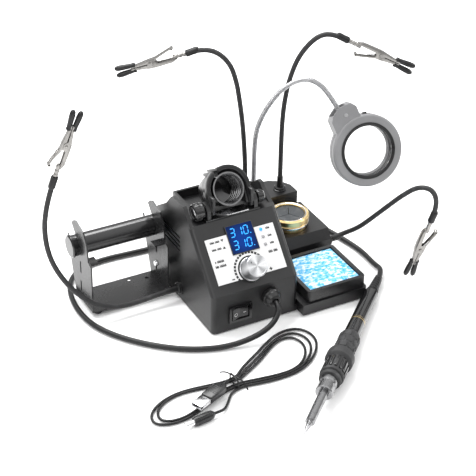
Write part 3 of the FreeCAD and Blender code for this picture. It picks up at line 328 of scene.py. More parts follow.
def knob_face():
    """Spun aluminium: fine rings about the knob's own axis, with a painted sheen: lighter and darker bands
    painted into the base colour round that axis.
    """
    finish = Finish("knob_silver", (0.7, 0.7, 0.71), 0.26, 0.9)
    middle = panel(0, DIAL_UP, 0)
    axis = panel_normal()
    spot = finish.node("ShaderNodeVectorMath", {"operation": "SUBTRACT"},
                       {0: finish.place, 1: middle})
    along = finish.node("ShaderNodeVectorMath", {"operation": "DOT_PRODUCT"}, {0: spot, 1: axis}, 1)
    reach = finish.node("ShaderNodeVectorMath", {"operation": "LENGTH"}, {0: spot}, 1)
    radius = (reach * reach - along * along) ** 0.5
    rings = (radius * 9000 + finish.noise(4, 2) * 2).sum("SINE") * 0.5 + 0.5
    streak = finish.noise(0.5, 5, where=radius)
    side = finish.node("ShaderNodeVectorMath", {"operation": "DOT_PRODUCT"}, {0: spot, 1: (1, 0, 0)}, 1)
    sweep = (side / radius).sum("ARCCOSINE")
    # painted highlight and painted shade: the base colour swings from dark to light with the angle round
    # the knob's axis
    painted_sheen = (sweep * 4 + 0.9).sum("SINE") * 0.5 + 0.5
    colour = finish.mix(painted_sheen, (0.34, 0.345, 0.355), (0.78, 0.785, 0.8))
    finish.paint("Base Color", finish.mix(rings * 0.25, colour, (0.5, 0.505, 0.515)))
    finish.paint("Roughness", 0.24 + rings * 0.1 + streak * 0.06)
    return finish.bump(rings, 0.008, 0.5).material


def clear_lens():
    finish = Finish("lens_glass", (1, 1, 1), 0.0, Transmission_Weight=1.0, IOR=1.46)
    smear = finish.step(finish.noise(16, 4), 0.55, 0.8)
    finish.paint("Roughness", smear * 0.03)
    return finish.material


def foam():
    """Wet sponge: pale blue and white cells with small pores, painted darker inside as painted shade."""
    finish = Finish("sponge_blue", (0.3, 0.72, 0.95), 0.7, Subsurface_Weight=0.15)
    cells = finish.node("ShaderNodeTexVoronoi", {"feature": "F1"},
                        {"Vector": finish.place, "Scale": 300.0})
    big = finish.step(finish.noise(6.5, 3, (1, 1.6, 1)), 0.48, 0.54)
    small = finish.step(finish.noise(2.6, 2), 0.47, 0.55)
    colour = finish.mix(big * 0.7 + small * 0.3, (0.03, 0.36, 0.68), (0.66, 0.76, 0.8))
    # painted shade: the pores get a darker blue than the cells around them
    pores = finish.step(cells, 0.12, 0.34)
    finish.paint("Base Color", finish.mix(pores, finish.mix(small, (0.02, 0.22, 0.5), (0.22, 0.55, 0.72)),
                                          colour))
    return finish.bump(pores + big * 0.3, 0.3, 0.5).material


def brushed_brass():
    finish = Finish("brass", (0.78, 0.58, 0.27), 0.24, 1.0)
    spun = finish.noise(1.1, 4, (0.15, 0.15, 3))
    tarnish = finish.step(finish.noise(9, 5), 0.5, 0.75)
    finish.paint("Base Color", finish.mix(tarnish * 0.5, (0.83, 0.63, 0.31), (0.55, 0.36, 0.14)))
    finish.paint("Roughness", 0.24 + spun * 0.1 + tarnish * 0.1)
    return finish.bump(spun, 0.004, 0.4).material


def wound_wool():
    finish = Finish("brass_wool", (0.72, 0.5, 0.2), 0.35, 1.0)
    curls = finish.noise(1.2, 6, (1, 1, 3))
    # painted shade: the places this mask lowers in the bump are painted dark brown, as shade between the
    # strands
    deep = finish.step(finish.noise(0.7, 4), 0.35, 0.65)
    finish.paint("Base Color", finish.mix(deep, (0.16, 0.09, 0.02), (0.8, 0.58, 0.25)))
    finish.paint("Roughness", 0.25 + curls * 0.3)
    return finish.bump(curls + deep, 0.9).material


def circuit_board():
    finish = Finish("board_green", (0.01, 0.09, 0.03), 0.35)
    traces = finish.node("ShaderNodeTexBrick", None,
                         {"Vector": finish.place, "Scale": 260.0, "Color1": (0.01, 0.1, 0.035, 1),
                          "Color2": (0.008, 0.07, 0.025, 1), "Mortar": (0.03, 0.2, 0.07, 1)})
    return finish.paint("Base Color", traces).bump(finish.noise(0.8, 3), 0.05).material


# ---------------------------------------------------------------- places on the sloping panel
def panel_normal():
    return Vector((0, -PANEL_SIN, PANEL_COS))


def panel(across, up, proud):
    """A point on the panel: across and up its slope from the knee, and proud of it, in mm."""
    return mm(across, KNEE_BACK + PANEL_COS * up - PANEL_SIN * proud,
              KNEE_HIGH + PANEL_SIN * up + PANEL_COS * proud)


FINISHES = {
    "shell": moulded("shell_black", (0.006, 0.006, 0.0065), (0.012, 0.012, 0.013), 0.36, 0.5, 0.025),
    "base": moulded("base_black", (0.006, 0.006, 0.0065), (0.011, 0.011, 0.012), 0.34, 0.5, 0.02),
    "satin": moulded("satin_black", (0.006, 0.006, 0.0065), (0.012, 0.012, 0.0125), 0.27, 0.7, 0.012),
    "gloss": moulded("gloss_black", (0.004, 0.004, 0.0045), (0.009, 0.009, 0.0095), 0.13, 1.2, 0.004,
                     Coat_Weight=0.5),
    "label": moulded("label_white", (0.66, 0.66, 0.66), (0.72, 0.72, 0.72), 0.34, 0.9, 0.004),
    "print": moulded("print_black", (0.01, 0.01, 0.011), (0.02, 0.02, 0.022), 0.4, 0.7, 0.004),
    "mark_white": moulded("mark_white", (0.6, 0.6, 0.6), (0.72, 0.72, 0.72), 0.4, 0.7, 0.004),
    "gold": moulded("mark_gold", (0.6, 0.43, 0.16), (0.7, 0.52, 0.22), 0.3, 0.7, 0.004, metal=0.8),
    "display": display_glass(),
    "digit": glowing("digit_cyan", (0.0, 0.2, 0.6), (0.02, 0.36, 1.0), 1.5),
    "led_on": glowing("led_blue", (0.0, 0.15, 0.7), (0.02, 0.22, 1.0), 1.8),
    "led_off": moulded("led_grey", (0.3, 0.3, 0.31), (0.42, 0.42, 0.43), 0.12, 0.9, 0.004),
    "knob": knob_face(),
    "rubber": soft_rubber("feet_rubber", (0.02, 0.02, 0.021), (0.04, 0.04, 0.042)),
    "steel": bare_metal("core_steel", (0.2, 0.2, 0.21), (0.4, 0.4, 0.41), 0.35, (1, 8, 1)),
    "board": circuit_board(),
    "zinc": bare_metal("zinc_plate", (0.6, 0.61, 0.63), (0.88, 0.88, 0.89), 0.16, (1, 6, 1), 6),
    "chrome": bare_metal("chrome", (0.6, 0.6, 0.61), (0.9, 0.9, 0.91), 0.07, (1, 1, 4), 8, 0.003),
    "tray": moulded("tray_dark", (0.008, 0.008, 0.0085), (0.016, 0.016, 0.017), 0.26, 0.6, 0.012),
    "foam": foam(),
    "brass": brushed_brass(),
    "wool": wound_wool(),
    "membrane": soft_rubber("membrane_grey", (0.05, 0.055, 0.06), (0.1, 0.105, 0.11), 0.55, 0.8),
    "sheet": moulded("powder_coat", (0.01, 0.01, 0.0105), (0.02, 0.02, 0.021), 0.24, 0.9, 0.015),
    "rod": moulded("rod_black", (0.006, 0.006, 0.0065), (0.012, 0.012, 0.013), 0.2, 0.9, 0.008,
                   Coat_Weight=0.3),
    "neck": soft_rubber("neck_sleeving", (0.022, 0.022, 0.023), (0.05, 0.05, 0.052), 0.6, 0.9),
    "shrink": soft_rubber("heat_shrink", (0.007, 0.007, 0.0075), (0.018, 0.018, 0.019), 0.38, 1.2),
    "coil": bare_metal("neck_chrome", (0.2, 0.2, 0.205), (0.5, 0.5, 0.51), 0.22, (1, 1, 1), 5, 0.004),
    "clip": bare_metal("clip_steel", (0.15, 0.145, 0.14), (0.36, 0.35, 0.335), 0.26, (1, 1, 1), 9, 0.006),
    "boot": soft_rubber("boot_rubber", (0.01, 0.01, 0.0105), (0.026, 0.026, 0.027), 0.36, 0.9),
    "head": moulded("head_grey", (0.2, 0.2, 0.205), (0.26, 0.26, 0.265), 0.35, 0.5, 0.02),
    "lens": clear_lens(),
    "barrel": bare_metal("barrel_steel", (0.13, 0.13, 0.135), (0.34, 0.34, 0.345), 0.14, (1, 1, 1), 14,
                         0.003),
    "grip": soft_rubber("grip_rubber", (0.03, 0.03, 0.031), (0.075, 0.075, 0.078), 0.6, 0.7),
    "lead": soft_rubber("lead_jacket", (0.008, 0.008, 0.0085), (0.018, 0.018, 0.019), 0.4, 1.0),
    "thin_lead": soft_rubber("thin_jacket", (0.005, 0.005, 0.0055), (0.011, 0.011, 0.012), 0.3, 1.4),
}
NODE_FINISH = {
    "base_plate": "base", "rubber_feet": "rubber", "housing": "shell", "deck_block": "shell",
    "panel_label": "label", "display_window": "display", "rocker_frame": "gloss", "rocker": "gloss",
    "cord_gland": "satin", "transformer": "steel", "circuit_boards": "board",
    "mains_inlet": "gloss", "fixing_screws": "zinc", "sponge_tray": "tray", "pot_cup": "brass",
    "pot_membrane": "membrane", "pot_wool": "wool", "holder_yoke": "satin",
    "holder_liner": "barrel", "holder_knobs": "gloss", "heat_plate": "zinc", "socket_nuts": "satin",
    "spool_bracket": "sheet", "spool_rod": "rod", "spool_feet": "rubber", "mag_head": "head",
    "mag_lens": "lens", "mag_switch": "satin", "iron_tip": "barrel", "iron_nut": "barrel",
    "iron_handle": "gloss", "iron_relief": "shrink",
}


def dress_nodes():
    for name, finish in NODE_FINISH.items():
        for slot in nodes[name].material_slots:
            slot.material = FINISHES[finish]


# ---------------------------------------------------------------- mesh helpers
def piece(name, mesh, finish, body, sharp=35):
    """A finished mesh as an object at the origin that rides on a body."""
    mesh.materials.clear()
    mesh.materials.append(FINISHES[finish])
    mesh.shade_smooth()
    mesh.set_sharp_from_angle(angle=math.radians(sharp))
    made = bpy.data.objects.new(name, mesh)
    bpy.context.collection.objects.link(made)
    if body:
        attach(made, body)
    return made


def mesh_of(name, form, place=None, soften=0.0, segments=2):
    if soften:
        edges = [e for e in form.edges if len(e.link_faces) == 2 and e.calc_face_angle() > 0.5]
        bmesh.ops.bevel(form, geom=edges, offset=soften * MM, segments=segments, affect="EDGES",
                        profile=0.5, clamp_overlap=True)
    if place is not None:
        form.transform(place)
    mesh = bpy.data.meshes.new(name)
    form.to_mesh(mesh)
    form.free()
    return mesh


def shaped(name, form, place, finish, body, soften=0.0, sharp=35):
    """A form in mm, placed and softened, as a finished piece."""
    return piece(name, mesh_of(name, form, place, soften), finish, body, sharp)


def stand(at, way, side=None):
    """The placement whose Z runs along way from at, with X as near to side as it can be."""
    z = Vector(way).normalized()
    x = Vector(side) if side else Vector((1, 0, 0)) if abs(z.x) < 0.9 else Vector((0, 1, 0))
    y = z.cross(x).normalized()
    x = y.cross(z)
    place = Matrix((x, y, z)).transposed().to_4x4()
    place.translation = Vector(at)
    return place


def lathe(profile, sides=48, form=None):
    """A closed turned form from (radius, height) points in mm, from one pole to the other or round."""
    form = form or bmesh.new()
    rings = []
    for radius, height in profile:
        if radius < 0.001:
            rings.append([form.verts.new(mm(0, 0, height))])
        else:
            rings.append([form.verts.new(mm(radius * math.cos(2 * math.pi * i / sides),
                                            radius * math.sin(2 * math.pi * i / sides), height))
                          for i in range(sides)])
    closed = len(rings[0]) > 1 or len(rings[-1]) > 1
    pairs = list(zip(rings, rings[1:] + (rings[:1] if closed else [])))
    for low, high in pairs:
        if len(low) == 1 and len(high) == 1:
            continue
        for i in range(sides):
            j = (i + 1) % sides
            corners = ([low[0]] if len(low) == 1 else [low[i], low[j]]) + (
                [high[0]] if len(high) == 1 else [high[j], high[i]])
            form.faces.new(corners)
    bmesh.ops.recalc_face_normals(form, faces=form.faces[:])
    return form


def slab(outline, deep, form=None, low=0.0):
    """A flat outline in mm, thickened upwards."""
    form = form or bmesh.new()
    floor = [form.verts.new(mm(x, y, low)) for x, y in outline]
    roof = [form.verts.new(mm(x, y, low + deep)) for x, y in outline]
    faces = [form.faces.new(floor[::-1]), form.faces.new(roof)]
    for i in range(len(outline)):
        j = (i + 1) % len(outline)
        faces.append(form.faces.new([floor[i], floor[j], roof[j], roof[i]]))
    bmesh.ops.recalc_face_normals(form, faces=faces)
    return form


def block(wide, deep, high, at=(0, 0, 0), form=None):
    x, y, z = at
    outline = [(x - wide / 2, y - deep / 2), (x + wide / 2, y - deep / 2), (x + wide / 2, y + deep / 2),
               (x - wide / 2, y + deep / 2)]
    return slab(outline, high, form, z - high / 2)


def route_curve(name, points, thick=0.0, sides=3, scale=MM):
    """A smooth open curve with these points, in mm, as its control points."""
    data = bpy.data.curves.new(name, "CURVE")
    data.dimensions = "3D"
    data.resolution_u = 10
    data.bevel_depth = thick * MM
    data.bevel_resolution = sides
    data.use_fill_caps = True
    line = data.splines.new("NURBS")
    line.points.add(len(points) - 1)
    for spot, at in zip(line.points, points):
        spot.co = (at[0] * scale, at[1] * scale, at[2] * scale, 1)
    line.order_u = 3
    line.use_endpoint_u = True
    made = bpy.data.objects.new(name, data)
    bpy.context.collection.objects.link(made)
    return made


def drop(made):
    bpy.data.objects.remove(made, do_unlink=True)


def plain_mesh(made):
    bpy.context.view_layer.update()
    ready = made.evaluated_get(bpy.context.evaluated_depsgraph_get())
    return bpy.data.meshes.new_from_object(ready)


def swept(name, points, thick, sides=3):
    curve = route_curve(name + "_line", points, thick, sides)
    mesh = plain_mesh(curve)
    drop(curve)
    mesh.name = name
    return mesh


def smooth_line(points):
    """Points read from the smooth curve of a route, in metres."""
    curve = route_curve("line", points)
    mesh = plain_mesh(curve)
    spots = [v.co.copy() for v in mesh.vertices]
    drop(curve)
    return spots


# ---------------------------------------------------------------- repeating forms
def new_tree(name, inputs):
    tree = bpy.data.node_groups.new(name, "GeometryNodeTree")
    tree.interface.new_socket("Geometry", in_out="INPUT", socket_type="NodeSocketGeometry")
    keys = {}
    for word, kind in inputs:
        socket = tree.interface.new_socket(word, in_out="INPUT", socket_type="NodeSocket" + kind)
        keys[word] = socket.identifier
    tree.interface.new_socket("Geometry", in_out="OUTPUT", socket_type="NodeSocketGeometry")
    entry = tree.nodes.new("NodeGroupInput")
    return tree, keys, {s.name: Flow(tree, s) for s in entry.outputs if s.name}


def close_tree(tree, shape, finish):
    real = add_node(tree, "GeometryNodeRealizeInstances", None, {0: shape})
    dressed = add_node(tree, "GeometryNodeSetMaterial", None, {"Geometry": real, "Material": finish})
    leave = tree.nodes.new("NodeGroupOutput")
    tree.links.new(dressed.socket, leave.inputs[0])


def rings_tree():
    """Rings strung at a pitch along a curve."""
    tree, keys, given = new_tree("rings_on_a_line", [("Pitch", "Float"), ("Ring", "Float"),
                                                     ("Wire", "Float"), ("Finish", "Material")])
    path = add_node(tree, "GeometryNodeResampleCurve", {"mode": "LENGTH"},
                    {"Curve": given["Geometry"], "Length": given["Pitch"]})
    loop = add_node(tree, "GeometryNodeCurvePrimitiveCircle", None, {"Resolution": 18,
                                                                     "Radius": given["Ring"]})
    wire = add_node(tree, "GeometryNodeCurvePrimitiveCircle", None, {"Resolution": 6,
                                                                     "Radius": given["Wire"]})
    ring = add_node(tree, "GeometryNodeCurveToMesh", None, {"Curve": loop, "Profile Curve": wire})
    heading = add_node(tree, "GeometryNodeInputTangent")
    facing = add_node(tree, "FunctionNodeAlignRotationToVector", {"axis": "Z"}, {"Vector": heading})
    strung = add_node(tree, "GeometryNodeInstanceOnPoints", None,
                      {"Points": path, "Instance": ring, "Rotation": facing})
    close_tree(tree, strung, given["Finish"])
    return tree, keys


def studs_tree():
    """Small blocks set in rows round the Z axis."""
    tree, keys, given = new_tree("studs_round_an_axis", [
        ("Count", "Int"), ("Rows", "Int"), ("Radius", "Float"), ("Pitch", "Float"), ("Size", "Vector"),
        ("Finish", "Material")])
    index = add_node(tree, "GeometryNodeInputIndex")
    row = (index / given["Count"]).sum("FLOOR")
    angle = (index + (row % 2) * 0.5) * (2 * math.pi) / given["Count"]
    spot = add_node(tree, "ShaderNodeCombineXYZ", None,
                    {0: given["Radius"] * angle.sum("COSINE"), 1: given["Radius"] * angle.sum("SINE"),
                     2: row * given["Pitch"]})
    turn = add_node(tree, "ShaderNodeCombineXYZ", None, {2: angle})
    cloud = add_node(tree, "GeometryNodePoints", None,
                     {"Count": given["Count"] * given["Rows"], "Position": spot})
    stud = add_node(tree, "GeometryNodeMeshCube", None, {"Size": given["Size"]})
    spread = add_node(tree, "GeometryNodeInstanceOnPoints", None,
                      {"Points": cloud, "Instance": stud, "Rotation": turn})
    close_tree(tree, spread, given["Finish"])
    return tree, keys


RINGS = rings_tree()
STUDS = studs_tree()


def grown(made, tree_and_keys, values):
    """The plain mesh that a tree grows on an object, which is then dropped."""
    tree, keys = tree_and_keys
    modifier = made.modifiers.new("growth", "NODES")
    modifier.node_group = tree
    for word, setting in values.items():
        modifier[keys[word]] = setting
    mesh = plain_mesh(made)
    drop(made)
    return mesh


def ringed(name, points, pitch, ring, wire, finish):
    curve = route_curve(name + "_line", points)
    mesh = grown(curve, RINGS, {"Pitch": pitch * MM, "Ring": ring * MM, "Wire": wire * MM,
                                "Finish": FINISHES[finish]})
    mesh.name = name
    return mesh


def studded(name, count, rows, radius, pitch, size, finish, place, soften=0.0):
    empty = bpy.data.objects.new(name + "_seed", bpy.data.meshes.new(name + "_seed"))
    bpy.context.collection.objects.link(empty)
    mesh = grown(empty, STUDS, {"Count": count, "Rows": rows, "Radius": radius * MM,
                                "Pitch": pitch * MM, "Size": [part * MM for part in size],
                                "Finish": FINISHES[finish]})
    form = bmesh.new()
    form.from_mesh(mesh)
    return mesh_of(name, form, place, soften)


def joined(name, *meshes):
    form = bmesh.new()
    for mesh in meshes:
        form.from_mesh(mesh)
    return mesh_of(name, form)


# ---------------------------------------------------------------- iron cord
IRON_FLANGE = mm(35, -165.5, 13.8)
IRON_WAY = Vector((0.7219, 0.6905, -0.045))
IRON_REACH = 124.4
CORD_ROUTE = [(147.9, -57.5, 6.76), (160.2, -45.8, 6.0), (160, -29, 4), (162.5, -3, 3.2), (158, 25, 3.1),
              (151, 52, 3.1), (142, 80, 3.1), (121, 106, 3.1), (92, 116, 3.1), (56, 112, 3.1),
              (20, 107, 3.1), (-18, 104, 3.1), (-55, 106, 3.1), (-90, 109, 3.1), (-120, 104, 3.1),
              (-139, 85, 3.1), (-148, 58, 3.1), (-150.5, 30, 3.1), (-146.5, 3, 3.1), (-134, -22, 3.1),
              (-115, -46, 3.1), (-90, -68, 3.1), (-66, -81, 3.1), (-43, -88, 3.6), (-20, -91.5, 7.5),
              (-1, -91.5, 14), (11, -87, 21.5), (15.5, -81, 28.9), GLAND_END]


def iron_cord():
    line = smooth_line(CORD_ROUTE)
    cord = piece("iron_cord_jacket", swept("iron_cord_jacket", CORD_ROUTE, 2.8, 5), "lead", None,
                 60)
    start = Vector(CORD_ROUTE[0]) * MM
    start + mm(-30, 30, 0)
    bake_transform(cord)
    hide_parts("iron_cord")
    mm(*GLAND_END)


# ---------------------------------------------------------------- loose lead in its hank
RIGHT_LOBE = [(-58, -146.6), (-44, -150), (-28, -152), (-12, -152.3), (2, -149.5), (14, -144), (25, -135.5),
              (34, -125), (39.5, -113), (39, -100), (32, -90.5), (20, -87.5), (6, -90.5), (-9, -98.5),
              (-24, -108), (-38, -116), (-50, -124), (-58, -131)]
LEFT_LOBE = [(-72, -132), (-86, -130), (-100, -128), (-114, -127), (-128, -128.5), (-142, -133.5),
             (-154, -141.5), (-160.5, -151), (-160, -160.5), (-151, -166.5), (-138, -168.4),
             (-124, -166.5), (-110, -162), (-97, -156.5), (-84, -150.5), (-73, -146.4)]
TIE_SPOT = (-65, -138.7)
LOW_TURN = 1.7
LEAD_RADIUS = 1.35
BARREL_PLUG = (-104, -173.5, 4.6)
FLAT_PLUG = (-80, -146.5, 6.4)


def lobe(points, inward, drift):
    """One lobe of a turn, drawn in towards the tie by inward, its neck spaced by drift."""
    out = []
    last = len(points) - 1
    for i, (x, y) in enumerate(points):
        part = i / last
        swell = math.sin(math.pi * part)
        shrink = 1 - inward * swell
        squeeze = 1 - drift * (1 - swell)
        out.append((TIE_SPOT[0] + (x - TIE_SPOT[0]) * shrink,
                    TIE_SPOT[1] + (y - TIE_SPOT[1]) * (1 - inward * 1.15 * swell) * squeeze, LOW_TURN))
    return out


def loose_lead():
    route = [BARREL_PLUG, (-97, -172.6, 4.0), (-90, -169.5, 2.4), (-82, -160.5, LOW_TURN),
             (-74, -150.5, LOW_TURN)]
    layers = [(0.0, 0.0), (0.075, 0.36), (0.15, 0.7)]
    for k, (inward, drift) in enumerate(layers):
        route += lobe(RIGHT_LOBE, inward, drift)
        if k < len(layers) - 1:
            inner = layers[k + 1]
            route += lobe(LEFT_LOBE, (inward + inner[0]) / 2, (drift + inner[1]) / 2)
    route += [(-65, -136.5, 6.2), (-72, -140, 8.4), (-80, -146.5, 10)]
    lead = route_curve("loose_lead", route, LEAD_RADIUS, 3)
    lead.data.materials.append(FINISHES["thin_lead"])
    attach(lead, "station")
    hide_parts("usb_hank")
    spots = smooth_line(route)
    length = sum((b - a).length for a, b in zip(spots, spots[1:]))
    return lead, length


def tie_and_plugs():
    around = [(0, 1.3), (0, 7.6), (3, 9.9), (13.4, 9.9), (16.8, 7.6), (16.8, 1.3)]
    loop = [(-65, -147.7 + y, z) for y, z in around]
    loop = [(-65.4, -147.7, 0.9)] + loop + [(-65, -139.3, 0.8), (-64.6, -147.7, 0.9)]
    band = swept("tie_band", loop, 0.75, 2)
    ends = (("a", [(-65, -139, 10), (-68, -134, 11.5), (-70, -127, 9), (-71, -122, 5)]),
            ("b", [(-65, -139, 10), (-63, -145, 11.5), (-60, -151, 8), (-59, -156, 3)]))
    tails = [swept(f"tie_tail_{word}", points, 0.75, 2) for word, points in ends]
    band_piece = piece("lead_tie", joined("lead_tie", band, *tails), "shrink", "station")
    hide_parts("usb_tie")
    turn = math.radians(204)
    along = Vector((math.cos(turn), math.sin(turn), 0))
    place = stand(mm(*FLAT_PLUG), UP, along)
    outline = [(0, -3.6), (2.4, -5.2), (7, -6.5), (26, -6.5), (26, 6.5), (7, 6.5), (2.4, 5.2), (0, 3.6)]
    form = slab(outline, 7, low=0.1)
    body = mesh_of("plug_body", form, place, 1.5, 3)
    ridges = bmesh.new()
    for i in range(5):
        block(1.1, 10.4, 7.5, (8.5 + 2.4 * i, 0, 3.6), ridges)
    body = joined("plug_body", body, mesh_of("plug_ridges", ridges, place, 0.3))
    plug = piece("usb_plug_body", body, "satin", "station")
    shell = mesh_of("shell_parts", plug_shell(), place, 0.25)
    metal = piece("usb_plug_shell", shell, "chrome", "station")
    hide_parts("usb_plug")
    turn = math.radians(187)
    way = Vector((math.cos(turn), math.sin(turn), 0))
    place = stand(mm(*BARREL_PLUG), way)
    barrel = mesh_of("barrel_body", lathe([(0, 0), (2.3, 0), (3.0, 1.0), (4.2, 2.6), (4.4, 4), (4.4, 20.6),
                                           (3.8, 22), (0, 22)], 32), place)
    ribs = studded("barrel_ribs", 16, 1, 4.3, 1, (0.7, 0.8, 14), "satin",
                   place @ Matrix.Translation(mm(0, 0, 12)), 0.15)
    jack = piece("barrel_plug_body", joined("barrel_plug_body", barrel, ribs), "satin", "station")
    pin = lathe([(1.1, 22), (2.75, 22), (2.75, 31), (2.3, 31.5), (1.3, 31.5), (1.1, 31)], 32)
    sleeve = shaped("barrel_plug_sleeve", pin, place, "chrome", "station")
    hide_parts("dc_plug")
    mm(*BARREL_PLUG)


def plug_shell():
    """The bright rectangular shell of a plug with its tongue, in the plug's own frame."""
    form = bmesh.new()
    for low, high, wide, y in ((1.4, 1.8, 11.6, 0), (5.4, 5.8, 11.6, 0)):
        block(14, wide, high - low, (33, y, (low + high) / 2), form)
    for y in (-5.6, 5.6):
        block(14, 0.4, 3.6, (33, y, 3.6), form)
    block(12, 10.4, 1.7, (32.4, 0, 4.5), form)
    for y in (-2.8, 2.8):
        block(2.2, 2.2, 0.15, (35, y, 5.86), form)
    return form


iron_cord()
lead, lead_length = loose_lead()
tie_and_plugs()
dress_nodes()


# ---------------------------------------------------------------- front panel
def on_panel(across, up, proud):
    return stand(panel(across, up, proud), panel_normal(), (1, 0, 0))


def marks():
    """Printed marks: generic bars in place of words, a dashed arc, a minus and a plus."""
    form = bmesh.new()

    def bar(across, up, wide, high=1.0):
        block(wide, high, 0.05, (across, up, 0.85), form)

    words = [(-29, 52.8, (5.0, 4.6), 1), (-29, 45.6, (5.0, 4.6), 1), (30.6, 53.4, (4.4,), 1),
             (30.6, 45.7, (4.4,), 1), (30.6, 38, (4.4,), 1), (-30, 33.5, (1.4, 7.6), 1.25),
             (-30, 28.8, (3.8, 7.0), 1.25), (28.5, 29.8, (4.6, 4.6), 1.25)]
    for across, up, lengths, tall in words:
        at = across - sum(lengths) / 2
        for wide in lengths:
            count = max(1, round(wide / 1.3))
            step = wide / count
            for k in range(count):
                x = at + (k + 0.5) * step
                bar(x, up, step - 0.25, (1.0, 1.5, 1.2)[k % 3] * tall)
                bar(x - step * 0.3, up + 0.25 * (k % 2), 0.4, 2.4 * tall)
            bar(at + wide / 2, up - 0.8 * tall, wide - 0.3, 0.4)
            at += wide + 1.0
    for up, tip in ((52.8, 1.3), (45.6, -1.3)):
        slab([(-20.2, up - tip), (-18.4, up + tip), (-22.0, up + tip)][::1 if tip > 0 else -1], 0.05, form,
             0.83)
    for i in range(15):
        angle = math.radians(206 - i * 11.6)
        wide, long = 1.15, 1.3
        mid = 16.9
        turn = Matrix.Rotation(angle, 2)
        corners = [turn @ Vector((mid + a, b)) for a, b in ((-wide, -long), (wide, -long), (wide, long),
                                                            (-wide, long))]
        slab([(c.x, c.y + 18.2) for c in corners], 0.05, form, 0.83)
    bar(-21, 12.8, 3.0, 1.1)
    bar(20.8, 13.2, 3.2, 1.1)
    bar(20.8, 13.2, 1.1, 3.2)
    shaped("panel_marks", form, on_panel(0, 0, 0), "print", "station")


SEGMENTS = {"0": "abcdef", "1": "bc", "3": "abcdg"}


def digit(form, word, across, up, wide, high):
    """A seven segment digit, leaning a little."""
    thick = 0.85
    half = high / 2
    spots = {"a": (wide / 2, high, 0), "g": (wide / 2, half, 0), "d": (wide / 2, 0, 0),
             "b": (wide, half * 1.5, 1), "c": (wide, half / 2, 1), "e": (0, half / 2, 1),
             "f": (0, half * 1.5, 1)}
    for letter in SEGMENTS[word]:
        x, y, upright = spots[letter]
        long = (half if upright else wide) / 2 - 0.35
        bar = [(-long, 0), (-long + thick / 2, -thick / 2), (long - thick / 2, -thick / 2), (long, 0),
               (long - thick / 2, thick / 2), (-long + thick / 2, thick / 2)]
        if upright:
            bar = [(-b, a) for a, b in bar]
        lean = 0.1
        slab([(across + x + a + (y + b) * lean, up + y + b) for a, b in bar], 0.06, form, 1.5)


def screen():
    form = bmesh.new()
    for up in (40.2, 53.0):
        for word, across in (("3", -10.2), ("1", -2.4), ("0", 4.6)):
            digit(form, word, across, up, 4.6, 8.4)
        block(0.9, 0.9, 0.06, (11.6, up, 1.53), form)
    shaped("screen_digits", form, on_panel(0, 0, 0), "digit", "station")
    form = bmesh.new()
    for wide, high, x, y in ((29.6, 0.9, 1.05, 35.9), (29.6, 0.9, 1.05, 64.7), (0.9, 29.7, -13.6, 50.3),
                             (0.9, 29.7, 15.7, 50.3)):
        block(wide, high, 0.7, (x, y, 1.15), form)
    shaped("screen_rim", form, on_panel(0, 0, 0), "print", "station", 0.12)


def lights():
    """Three domed lamps; the top one glows."""
    for i, up in enumerate((38, 45.7, 53.4)):
        dome = [(0, -3), (1.7, -3), (1.7, 0.6)] + [(1.7 * math.cos(a), 0.6 + 1.1 * math.sin(a))
                                                   for a in (0.3, 0.6, 0.9, 1.2)] + [(0, 1.7)]
        mesh = mesh_of(f"lamp_{i}", lathe(dome, 24), on_panel(LAMP_ACROSS, up, 0))
        piece(f"lamp_{i}", mesh, "led_on" if i == 2 else "led_off", "station")
        ring = lathe([(1.7, 0.83), (2.3, 0.83), (2.2, 1.1), (1.8, 1.1)], 24)
        shaped(f"lamp_ring_{i}", ring, on_panel(LAMP_ACROSS, up, 0), "chrome", "station")
    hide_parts("status_leds")


def knob_parts():
    """A shouldered metal knob with a bright chamfer, and the dark ring it stands in."""
    skirt = [(0, -1), (12.3, -1), (12.3, 1.2), (12.0, 1.8), (11.5, 2.1), (11.2, 17.2), (11.0, 17.9),
             (10.5, 18.4), (9.6, 18.5), (9.4, 18.3), (0, 18.2)]
    face = shaped("dial_knob", lathe(skirt, 96), on_panel(0, DIAL_UP, 0), "knob", "dial",
                  sharp=25)
    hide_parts("knob")
    ring = lathe([(12.9, 0.4), (13.0, 1.0), (13.6, 1.0), (13.7, 0.8), (13.7, 0.4)], 72)
    shaped("dial_well_ring", ring, on_panel(0, DIAL_UP, 0), "print", "station")
    notch = block(0.9, 3.0, 0.08, (-5.2, 5.2, 18.24))
    shaped("dial_notch", notch, on_panel(0, DIAL_UP, 0), "print", "dial", 0.02)


def rocker_marks():
    ring = lathe([(1.5, 0), (2.0, 0), (2.0, 0.12), (1.5, 0.12)], 24)
    place = stand(mm(-23.2, -64.05, 19.0), (0.17, -1, 0), (1, 0, 0))
    first = mesh_of("rocker_ring", ring, place)
    bar = block(3.0, 0.6, 0.12)
    second = mesh_of("rocker_bar", bar, stand(mm(-12.8, -62.75, 19.0), (0.02, -1, 0), (1, 0, 0)))
    piece("rocker_marks", joined("rocker_marks", first, second), "mark_white", "power_rocker")


marks()
screen()
lights()
knob_parts()
rocker_marks()


